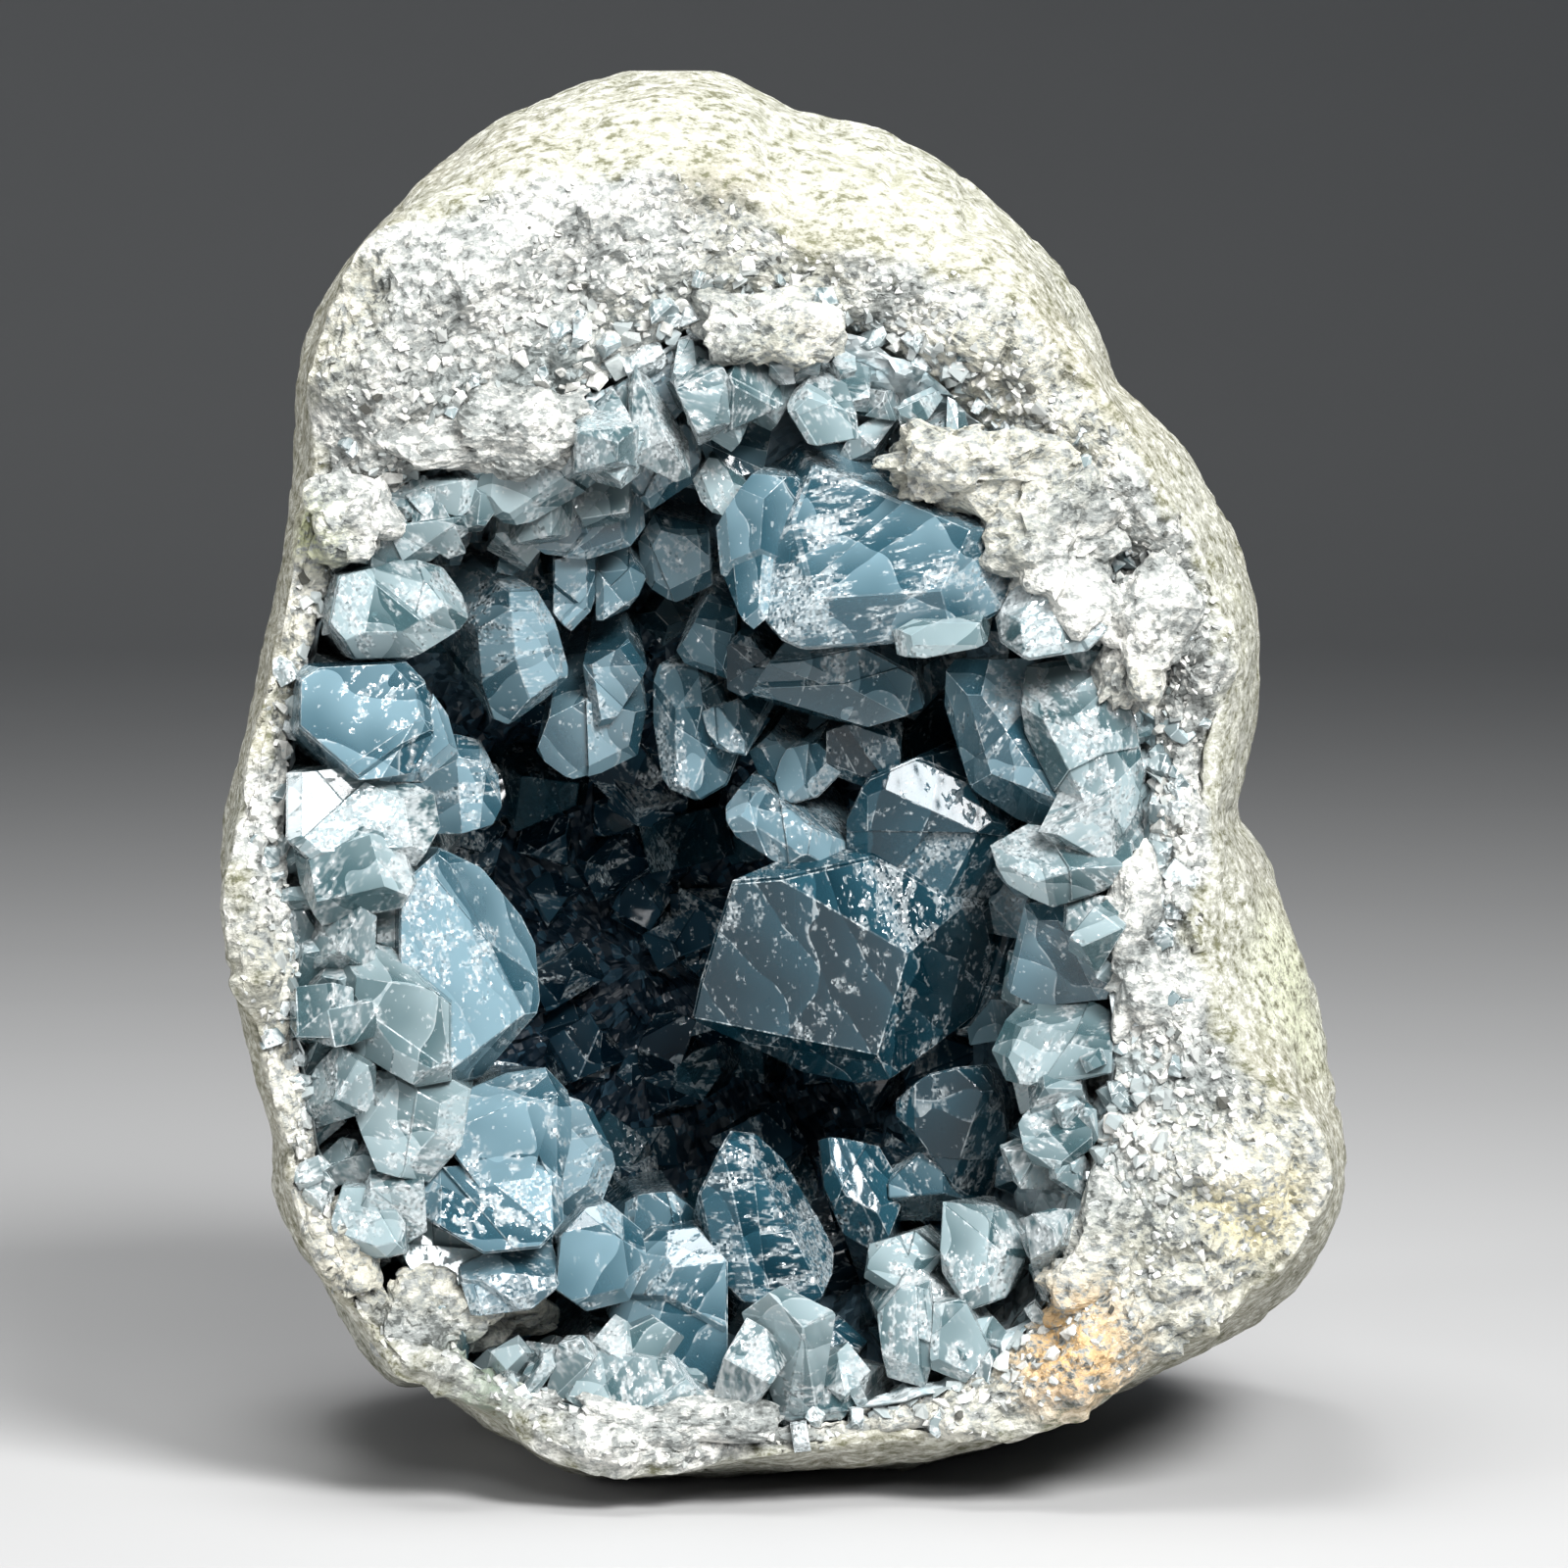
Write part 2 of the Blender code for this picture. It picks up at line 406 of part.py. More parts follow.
def add_object(name, bm):
    mesh = bpy.data.meshes.new(name)
    bm.to_mesh(mesh)
    bm.free()
    item = bpy.data.objects.new(name, mesh)
    bpy.context.collection.objects.link(item)
    return item


def make_stone():
    back, bottom = (*STONE_MIDDLE, BACK_DEPTH), (*HOLLOW_MIDDLE, HOLLOW_DEPTH)
    bm, reliefs = grid_mesh(COLUMNS, stone_section, back, bottom)
    roughen(bm, reliefs)
    return add_object("stone_shell", bm)


def make_mould(stone):
    """The room that the crust keeps out of: the stone grown by the gap between the two, and far outwards."""
    bm = bmesh.new()
    bm.from_mesh(stone.data)
    bm.normal_update()
    outer_rows = BACK_ROWS - 1 + SHOULDER_ROWS
    rows = outer_rows + FACE_ROWS + HOLLOW_ROWS
    middle = place(*STONE_MIDDLE, 0.0)
    grown = []
    for vert in bm.verts:
        outward = vert.normal * CLEARANCE
        if vert.index < COLUMNS * rows and vert.index % rows < outer_rows:
            radial = Vector((vert.co.x - middle.x, 0.0, vert.co.z - middle.z)).normalized()
            outward = radial * MOULD_GROWTH
        grown.append((vert, vert.co + outward * MM))
    for vert, spot in grown:
        vert.co = spot
    guide = add_object("crust_mould", bm)
    guide.hide_render = True
    guide.display_type = "WIRE"
    guide.hide_set(True)
    return guide


def crust_section(angle):
    """One section of the crust's bed: its outer side bites into the wall, its inner side stands off it."""
    section = []
    for row in range(1, CRUST_ROWS + 1):
        section.append((*hollow_ring(angle, 1.0 - row / CRUST_ROWS, -CRUST_BITE), 0.0))
    for row in range(CRUST_ROWS):
        share = row / CRUST_ROWS
        thickness = CRUST_EDGE + (CRUST_THICKNESS - CRUST_EDGE) * min(1.0, 3.0 * share)
        radius, depth, middle = hollow_ring(angle, share, thickness)
        section.append((radius, depth + CRUST_EDGE * (1.0 - share), middle, BED_RELIEF))
    return section


def make_bed():
    """The bed that the crystals stand on, a bowl along the hollow's wall."""
    deepest = (*HOLLOW_MIDDLE, HOLLOW_DEPTH + CRUST_BITE)
    floor = (*HOLLOW_MIDDLE, HOLLOW_DEPTH - CRUST_THICKNESS)
    bm, reliefs = grid_mesh(CRUST_COLUMNS, crust_section, deepest, floor)
    for vert, relief in reliefs.items():
        if relief:
            spot = vert.co / MM
            vert.co += vert.normal * relief * noise.noise(spot / BED_SPAN + BED_SHIFT) * MM
    return add_object("bed", bm)


def inside_hollow(right, up, depth):
    """Whether a point of the front view lies within the hollow's wall, found along the wall's own rings."""
    for step in range(1, 41):
        share = step / 40
        angle = math.atan2(up - STONE_MIDDLE[1], right - STONE_MIDDLE[0])
        ring_depth, middle = hollow_ring(angle, share)[1:]
        if ring_depth >= depth:
            angle = math.atan2(up - middle[1], right - middle[0])
            return math.hypot(right - middle[0], up - middle[1]) < hollow_ring(angle, share)[0]
    return False


def root_length(spot, direction):
    """How far a root runs from a point until it is set in the wall of the hollow."""
    length = ROOT_STEP
    while length < ROOT_LIMIT and inside_hollow(*(a + b * length for a, b in zip(spot, direction))):
        length += ROOT_STEP
    return length + CRUST_BITE


def slice_off(bm, point, normal):
    """Cuts away what lies beyond a plane and closes the cut with one flat face."""
    parts = bm.verts[:] + bm.edges[:] + bm.faces[:]
    cut = bmesh.ops.bisect_plane(bm, geom=parts, plane_co=point, plane_no=normal, dist=1e-7, clear_outer=True)
    rim = [item for item in cut["geom_cut"] if isinstance(item, bmesh.types.BMEdge)]
    if rim:
        bmesh.ops.edgeloop_fill(bm, edges=rim)


def make_crystal(name, depth, slope, root, outline, rng):
    """A crystal from its outline: a flat sloping front face, bevelled edges and a root into the crust."""
    middle = [sum(point[axis] for point in outline) / len(outline) for axis in (0, 1)]
    heart = place(*middle, depth)
    direction = Vector(root).normalized()
    length = root_length((*middle, depth), (direction.x, direction.z, direction.y)) * MM
    front = []
    for right, up in outline:
        corner = place(right, up, depth)
        corner.y = heart.y + (corner.x - heart.x) * slope[0] + (corner.z - heart.z) * slope[1]
        front.append(corner)
    bm = bmesh.new()
    corners = [bm.verts.new(spot) for spot in front + [spot + direction * length for spot in front]]
    hull = bmesh.ops.convex_hull(bm, input=corners)
    inner = [item for item in hull["geom_interior"] if isinstance(item, bmesh.types.BMVert)]
    bmesh.ops.delete(bm, geom=inner)
    bmesh.ops.dissolve_limit(bm, angle_limit=FLATNESS, verts=bm.verts, edges=bm.edges)
    facing = Vector((slope[0], -1.0, slope[1])).normalized()
    size = max((a - b).length for a in front for b in front)
    for here, there in zip(front, front[1:] + front[:1]):
        outward = (there - here).cross(facing).normalized()
        if outward.dot(here - heart) < 0:
            outward.negate()
        width = rng.uniform(*BEVEL_WIDTH) * size
        steepness = math.radians(rng.uniform(*BEVEL_STEEPNESS))
        if rng.random() < BEVEL_SHARE:
            normal = facing * math.cos(steepness) + outward * math.sin(steepness)
            slice_off(bm, (here + there) / 2 - outward * width, normal)
    bmesh.ops.recalc_face_normals(bm, faces=bm.faces)
    return add_object(name, bm)


def make_small_crystal(name, angle, share, size, rng):
    """A small crystal on the bed, blocky with a wedge-shaped end, that leans towards the open hollow."""
    radius, depth, middle = hollow_ring(angle, share, CRUST_EDGE)
    foot = place(*ring_point(angle, radius, depth, middle))
    open_side = place(*ring_point(angle, radius * 0.55, depth - 14.0, middle))
    out = (open_side - foot).normalized() + Vector([rng.uniform(-0.45, 0.45) for axis in range(3)])
    turn = out.to_track_quat("Z", "X").to_matrix() @ Matrix.Rotation(rng.uniform(0.0, math.tau), 3, "Z")
    length, width, thickness = size * rng.uniform(1.2, 1.8), size, size * rng.uniform(0.55, 0.85)
    bm = bmesh.new()
    bmesh.ops.create_cube(bm, size=1.0)
    bmesh.ops.scale(bm, vec=Vector((width, thickness, 2.0 * length)) * MM, verts=bm.verts)
    wedge, chisel = math.radians(rng.uniform(36, 50)), math.radians(rng.uniform(36, 52))
    tip = Vector((0, 0, length * rng.uniform(0.85, 1.0))) * MM
    for side in (-1, 1):
        slice_off(bm, tip, Vector((side * math.sin(wedge), 0, math.cos(wedge))))
    slice_off(bm, tip * 0.95, Vector((0, math.sin(chisel), math.cos(chisel))))
    bmesh.ops.transform(bm, matrix=turn.to_4x4(), verts=bm.verts)
    bmesh.ops.translate(bm, vec=foot, verts=bm.verts)
    return add_object(name, bm)


def make_small_crystals(rng):
    """A row of small crystals along the mouth, and larger ones over the wall behind it."""
    small = []
    for number in range(RIM_CRYSTALS):
        angle = math.tau * (number + rng.uniform(-0.3, 0.3)) / RIM_CRYSTALS
        size = rng.uniform(*RIM_CRYSTAL_SIZE)
        small.append(make_small_crystal(f"rim_crystal_{number}", angle, rng.uniform(0.02, 0.12), size, rng))
    for number in range(WALL_CRYSTALS):
        angle = math.tau * (number * 0.618 % 1.0)
        size = rng.uniform(*WALL_CRYSTAL_SIZE)
        small.append(make_small_crystal(f"wall_crystal_{number}", angle, rng.uniform(0.15, 0.85), size, rng))
    return small


def combine(base, operation, operand, use_self=False):
    """Leaves the result of a Boolean with an object or a collection as the base's own mesh."""
    modifier = base.modifiers.new("combine", "BOOLEAN")
    modifier.operation = operation
    modifier.use_self = use_self
    if isinstance(operand, bpy.types.Collection):
        modifier.operand_type = "COLLECTION"
        modifier.collection = operand
    else:
        modifier.object = operand
    depsgraph = bpy.context.evaluated_depsgraph_get()
    mesh = bpy.data.meshes.new_from_object(base.evaluated_get(depsgraph))
    base.modifiers.remove(modifier)
    base.data = mesh


def join_all(base, others):
    """Joins many overlapping objects to a base."""
    group = bpy.data.collections.new("operands")
    bpy.context.scene.collection.children.link(group)
    for item in others:
        bpy.context.collection.objects.unlink(item)
        group.objects.link(item)
    combine(base, "UNION", group)
    for item in others:
        bpy.data.objects.remove(item)
    bpy.data.collections.remove(group)


def body_of(start):
    """All the points that hang together with one."""
    found, waiting = {start}, [start]
    while waiting:
        for edge in waiting.pop().link_edges:
            for vert in edge.verts:
                if vert not in found:
                    found.add(vert)
                    waiting.append(vert)
    return found


def drop_chips(item):
    """Deletes the loose corners that the last cut leaves beside the one large body."""
    bm = bmesh.new()
    bm.from_mesh(item.data)
    left, bodies = set(bm.verts), []
    while left:
        body = body_of(next(iter(left)))
        bodies.append(body)
        left -= body
    crust = max(bodies, key=len)
    bmesh.ops.delete(bm, geom=[vert for vert in bm.verts if vert not in crust])
    bm.to_mesh(item.data)
    bm.free()


def make_crust(mould):
    """The bed and all its crystals as one body, cut to fit the hollow with a gap."""
    rng = random.Random(SEED)
    crust = make_bed()
    crystals = [make_crystal(name, *shape, rng) for name, shape in CRYSTALS.items()]
    join_all(crust, crystals + make_small_crystals(rng))
    combine(crust, "DIFFERENCE", mould, use_self=True)
    drop_chips(crust)
    crust.name = "crystal_crust"
    return crust


def surface(name, colour, roughness):
    """A material that is the same all over."""
    material = bpy.data.materials.new(name)
    material.use_nodes = True
    shader = material.node_tree.nodes["Principled BSDF"]
    shader.inputs["Base Color"].default_value = (*colour, 1.0)
    shader.inputs["Roughness"].default_value = roughness
    shader.inputs["Metallic"].default_value = 0.0
    return material


def main():
    for item in list(bpy.data.objects):
        bpy.data.objects.remove(item)
    stone = make_stone()
    mould = make_mould(stone)
    crust = make_crust(mould)
    stone.data.materials.append(surface("pale_rock", (0.72, 0.70, 0.62), 0.85))
    crust.data.materials.append(surface("blue_celestite", (0.16, 0.30, 0.38), 0.15))


main()
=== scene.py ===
"""Celestite geode: the looks of a boulder of pale rock whose hollow is lined with blue crystals.

Outlines are measured in a front view taken from slightly above, as (right, up) in millimetres, and a depth in
millimetres gives how far behind the view's middle plane a point lies. place() turns the three into metres.
"""

import math
import random

import bmesh
import bpy
from bpy.props import FloatProperty, FloatVectorProperty, IntProperty, PointerProperty
from mathutils import Matrix, Vector, noise


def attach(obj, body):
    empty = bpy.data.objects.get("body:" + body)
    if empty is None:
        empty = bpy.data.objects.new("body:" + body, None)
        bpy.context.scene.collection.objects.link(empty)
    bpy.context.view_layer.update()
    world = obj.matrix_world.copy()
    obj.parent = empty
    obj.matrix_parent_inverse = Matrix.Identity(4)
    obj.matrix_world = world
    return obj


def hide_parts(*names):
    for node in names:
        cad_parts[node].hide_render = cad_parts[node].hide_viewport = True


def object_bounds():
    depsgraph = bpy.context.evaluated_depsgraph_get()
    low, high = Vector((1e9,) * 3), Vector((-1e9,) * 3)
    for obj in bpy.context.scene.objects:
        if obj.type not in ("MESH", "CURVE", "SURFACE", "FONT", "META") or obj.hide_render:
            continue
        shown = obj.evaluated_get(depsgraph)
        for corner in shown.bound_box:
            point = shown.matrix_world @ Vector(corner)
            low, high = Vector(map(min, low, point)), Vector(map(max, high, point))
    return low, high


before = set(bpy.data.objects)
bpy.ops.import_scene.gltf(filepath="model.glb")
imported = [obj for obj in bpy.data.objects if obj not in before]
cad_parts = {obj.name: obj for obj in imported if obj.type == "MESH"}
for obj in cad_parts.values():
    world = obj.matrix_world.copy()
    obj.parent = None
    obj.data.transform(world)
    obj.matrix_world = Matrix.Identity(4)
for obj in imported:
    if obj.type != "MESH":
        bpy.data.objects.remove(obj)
CAD_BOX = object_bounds()

bl_info = {
    "name": "Celestite geode",
    "version": (1, 0, 0),
    "blender": (4, 5, 0),
    "location": "View3D > Sidebar > Geode",
    "description": "Makes the stone, the crystals and the stage of a celestite geode",
    "category": "Object",
}

MM = 0.001

# The front view: its tilt, how far off it is, the height of its middle in the view, its width, and where its
# middle lies in the stone. Then the points that the outlines of the stone and the hollow's bottom turn about.
VIEW_TILT = math.radians(5.0)
VIEW_RANGE = 900.0
VIEW_MIDDLE = 74.9
VIEW_WIDTH = 166.9
MIDDLE_HEIGHT = 71.3
MIDDLE_DEPTH = -3.3
STONE_MIDDLE = (-2.0, 69.5)
HOLLOW_MIDDLE = (-15.0, 56.0)

# The stone seen from the front: its whole outline, the edge of its smooth rind and the edge of the hollow.
SILHOUETTE = [
    (50.5, 88), (48.5, 98), (41.5, 111), (35, 117), (33.5, 121), (27, 131), (17, 140), (10, 144), (2, 146),
    (-6, 149), (-12, 150), (-21, 148.5), (-34, 142.5), (-45.5, 131), (-50.5, 122), (-52, 108), (-54, 96),
    (-57, 82), (-59.5, 68), (-58.5, 55), (-54, 37), (-54.5, 32), (-48, 20), (-42, 11.5), (-37, 10.5),
    (-28, 4), (-20, 0.5), (-4, 1), (15, 2), (31, 7), (46, 14.5), (56, 23), (59.5, 32), (59, 42), (55, 57),
    (51, 67), (48.2, 71), (48.8, 76),
]
RIND_EDGE = [
    (47.5, 88), (45, 97), (38.5, 108), (30, 120), (24, 126.5), (12, 130.5), (1, 132), (-4, 138), (-13, 139.5),
    (-25, 138.5), (-34, 136), (-42, 131.5), (-47.5, 123), (-50, 110), (-53, 94), (-56, 80), (-58, 66),
    (-57, 52), (-53, 37), (-53, 31), (-47, 20), (-41, 13), (-35, 10.5), (-27, 5.5), (-17, 2.5), (3, 3),
    (18, 4.5), (36, 11), (48, 18), (56, 28), (56.5, 37), (48, 47.5), (44, 55), (45, 64), (46, 72), (47, 80),
]
MOUTH = [
    (39, 85), (36, 95), (30, 103), (21, 113), (12, 120), (3, 124), (-10, 122.5), (-18, 117), (-26, 113),
    (-36, 109), (-44.5, 104), (-48, 96), (-50.5, 86), (-53, 74), (-53.5, 62), (-51.5, 46), (-48, 30),
    (-42, 19), (-34, 13), (-24, 9), (-8, 7), (8, 8), (20, 11.5), (27, 18), (31.5, 28), (34.5, 40),
    (36.5, 55), (39, 70),
]

# Depths of the widest ring, the rind's edge, the hollow's bottom and the back, then how the broken face leans,
# sinks, bulges and waves, and how far the rind's shoulder turns.
OUTLINE_DEPTH = -8.0
RIND_EDGE_DEPTH = -37.0
HOLLOW_DEPTH = 29.0
BACK_DEPTH = 52.0
FACE_LEAN = 4.5
FACE_INSET = 2.0
FACE_BULGE = 4.0
FACE_WIDTH = 20.0
FACE_LEAN_UP = 0.8
FACE_LEAN_RIGHT = 0.5
FACE_WAVES = ((3, 1.3, 0.6), (5, 0.8, 0.0))
SHOULDER = math.radians(66.0)

# How square the boulder and the hollow are, where 2 is round.
BACK_POWER = 2.2
RESTING_POWER_GAIN = 1.3
HOLLOW_POWER = 2.3
HOLLOW_FLOOR_LOSS = 0.3
HOLLOW_ROOF_LOSS = 0.9
HOLLOW_ROOF_ANGLE = math.radians(60.0)

# How finely the stone is made: the sections around it, and the rows of each on its back, its shoulder, its
# broken face and the wall of its hollow. Then the steps of a tabled curve and the gap left to the CAD box.
COLUMNS = 680
BACK_ROWS = 54
SHOULDER_ROWS = 20
FACE_ROWS = 46
HOLLOW_ROWS = 14
TABLE_STEPS = 1440
EDGE_GAP = 0.00002

# Relief of the rock: how strong it is on each part, then the span and the share or height of each form.
RIND_RELIEF = 0.9
RIM_RELIEF = 2.1
RIM_BLEND = 3.0
FACE_RELIEF = 2.8
FACE_CALM = 0.35
HOLLOW_RELIEF = 1.2
LUMP_SPAN = 26.0
LUMP_SHARE = 1.3
KNOB_SPAN = 11.0
KNOB_SHARE = 0.65
LEDGE_SPAN = 6.5
LEDGE_SHARE = 0.9
LEDGE_SHIFT = Vector((7, 3, 5))
WAVE_SPAN = 5.0
WAVE_HEIGHT = 0.5
RIPPLE_SPAN = 2.0
RIPPLE_HEIGHT = 0.16
DENT_SPAN = 3.4
DENT_SHIFT = Vector((1, 9, 4))
DENT_LEVEL = 0.28
DENT_DEPTH = 2.2
CRACK_SPAN = 17.0
CRACK_WIDTH = 0.035
CRACK_PATCH_SPAN = 13.0
CRACK_DEPTH = 0.7

# Where the rind stops: how far the back lies from the rind's edge, how the edge wanders, the width over which
# the crumbs begin, how many rows they reach into the hollow, and how far the rind is smooth.
FAR_BEHIND = 30.0
EDGE_WANDER = 2.5
CRUMBS_BEGIN = (-1.0, 0.8)
CRUMBS_REACH = 3
SMOOTH_UP_TO = -0.75

# Crumbs of the broken face: spans and shares of their facets, and of the grit over them.
CRUMB_FACETS = ((8.0, 1.0), (3.4, 0.6))
GRIT_SPAN = 1.6
GRIT_SHARE = 0.7
CRUMB_MIDDLE = 0.45
FACET_SEED = 7.3
FACET_TILT = 1.6
FACET_SHIFTS = (Vector((9.3, -1.5, -7.9)), Vector((-3.1, 4.7, 2.3)), Vector((5.9, 8.1, -2.7)))

# Dents of the broken face, as (right, up), width and depth.
PITS = [((-47.5, 103.0), 2.6, 3.0), ((-1.6, 137.5), 2.0, 2.2), ((-37.0, 136.0), 1.6, 1.2),
        ((44.0, 30.0), 2.2, 1.5), ((31.0, 109.0), 1.8, 1.4), ((-20.0, 124.5), 2.4, 1.4),
        ((41.5, 93.0), 1.6, 1.2)]

# The bed under the crystals: its thickness, how far from the wall the small crystals stand, how far it reaches
# into the rock, how finely it is made, and its relief.
BED_THICKNESS = 5.0
BED_EDGE = 1.5
BED_OUTSIDE = 0.5
BED_COLUMNS = 220
BED_ROWS = 60
BED_OUTER_ROWS = 15
BED_SPAN = 7.0
BED_SHIFT = Vector((1, 9, 4))
BED_RELIEF = 1.4
BED_FACETS = ((4.5, 1.6), (2.0, 1.0))

# The start of every random draw.
SEED = 11

# Roots of the crystals: how far they are followed, how deep they bite into the wall, and how far past the
# wall the corners of a front, a root and a small crystal may lie. Then the steps of both searches.
ROOT_STEP = 1.0
ROOT_LIMIT = 60.0
ROOT_ANCHOR = 0.8
BITE = 2.0
FRONT_SPARE = 0.8
ROOT_SPARE = 1.0
SMALL_SPARE = 0.7
WALL_STEPS = 24
DRAW_STEPS = 10

# Faces of the large crystals: what counts as flat, the share of a front's edges that are bevelled, the bevels'
# width as a share of the crystal's size and their steepness in degrees, and the small round edge.
FLATNESS = math.radians(0.2)
BEVEL_SHARE = 0.45
BEVEL_WIDTH = (0.08, 0.24)
BEVEL_STEEPNESS = (28.0, 58.0)
EDGE_SHARE = 0.010
EDGE_RANGE = (0.5, 1.0)
EDGE_LEAST = 0.08

# Chipped corners and growth steps: how many, how far they lean, shift, go back and stand forward.
CHIP_COUNT = (2, 5)
CHIP_LEAN = (0.3, 1.2)
CHIP_SWAY = 0.4
CHIP_DEPTH = (0.3, 1.1)
STEP_SIZE = 7.5
STEP_COUNT = (1, 3)
STEP_LEAN = (0.1, 0.7)
STEP_SHIFT = (-0.12, 0.22)
STEP_BACK = 0.35
STEP_RISE = (0.25, 0.9)
STEP_SHRINK = 0.985
STEP_EDGE = 0.10

# Small crystals: where they aim, their sway, their shape as shares of their size, the angles of their ends,
# and which of them have pale edges, a painted highlight.
SMALL_AIM = (0.55, 14.0)
SMALL_SWAY = 0.45
SMALL_LENGTH = (1.2, 1.8)
SMALL_THICKNESS = (0.55, 0.85)
SMALL_TIP = (0.85, 1.0)
SMALL_WEDGE = (36.0, 50.0)
SMALL_CHISEL = (36.0, 52.0)
SMALL_CHISEL_AT = 0.95
SMALL_MIDDLE = 0.4
SMALL_EDGE_SHARE = 0.015
SMALL_EDGE_FROM = 2.5
EDGE_HIGHLIGHT_REACH = 0.2

# Small crystals along the mouth and on the wall, and the fillers between: how many, their sizes, how far in
# they stand from the mouth at 0 to the bottom at 1, and how cloudy they are. Each kind of filler has its count,
# its sizes and how closely it crowds to the mouth. Then how far in each look reaches.
RIM_CRYSTALS = 38
RIM_CRYSTAL_SIZE = (3.5, 6.5)
RIM_REACH = (0.02, 0.12)
RIM_JITTER = 0.3
RIM_CLOUD = (0.4, 0.9)
WALL_CRYSTALS = 27
WALL_CRYSTAL_SIZE = (5.0, 10.0)
WALL_REACH = (0.15, 0.85)
WALL_TURN = 0.618
WALL_CLOUD = (0.0, 0.3)
FILLERS = [(230, (4.5, 9.0), 1.3), (380, (1.6, 4.2), 1.8)]
FILLER_REACH = 0.9
FILLER_CLOUD = (0.2, 0.9)
# Deeper in, the small crystals take darker looks, a painted shade; at the roof slate reaches farther in, a
# painted light where light falls on the top of the hollow.
ICE_REACH = 0.14
SLATE_REACH = 0.3
LIT_ROOF_SLATE_REACH = 0.5
ROOF_FROM = 0.4
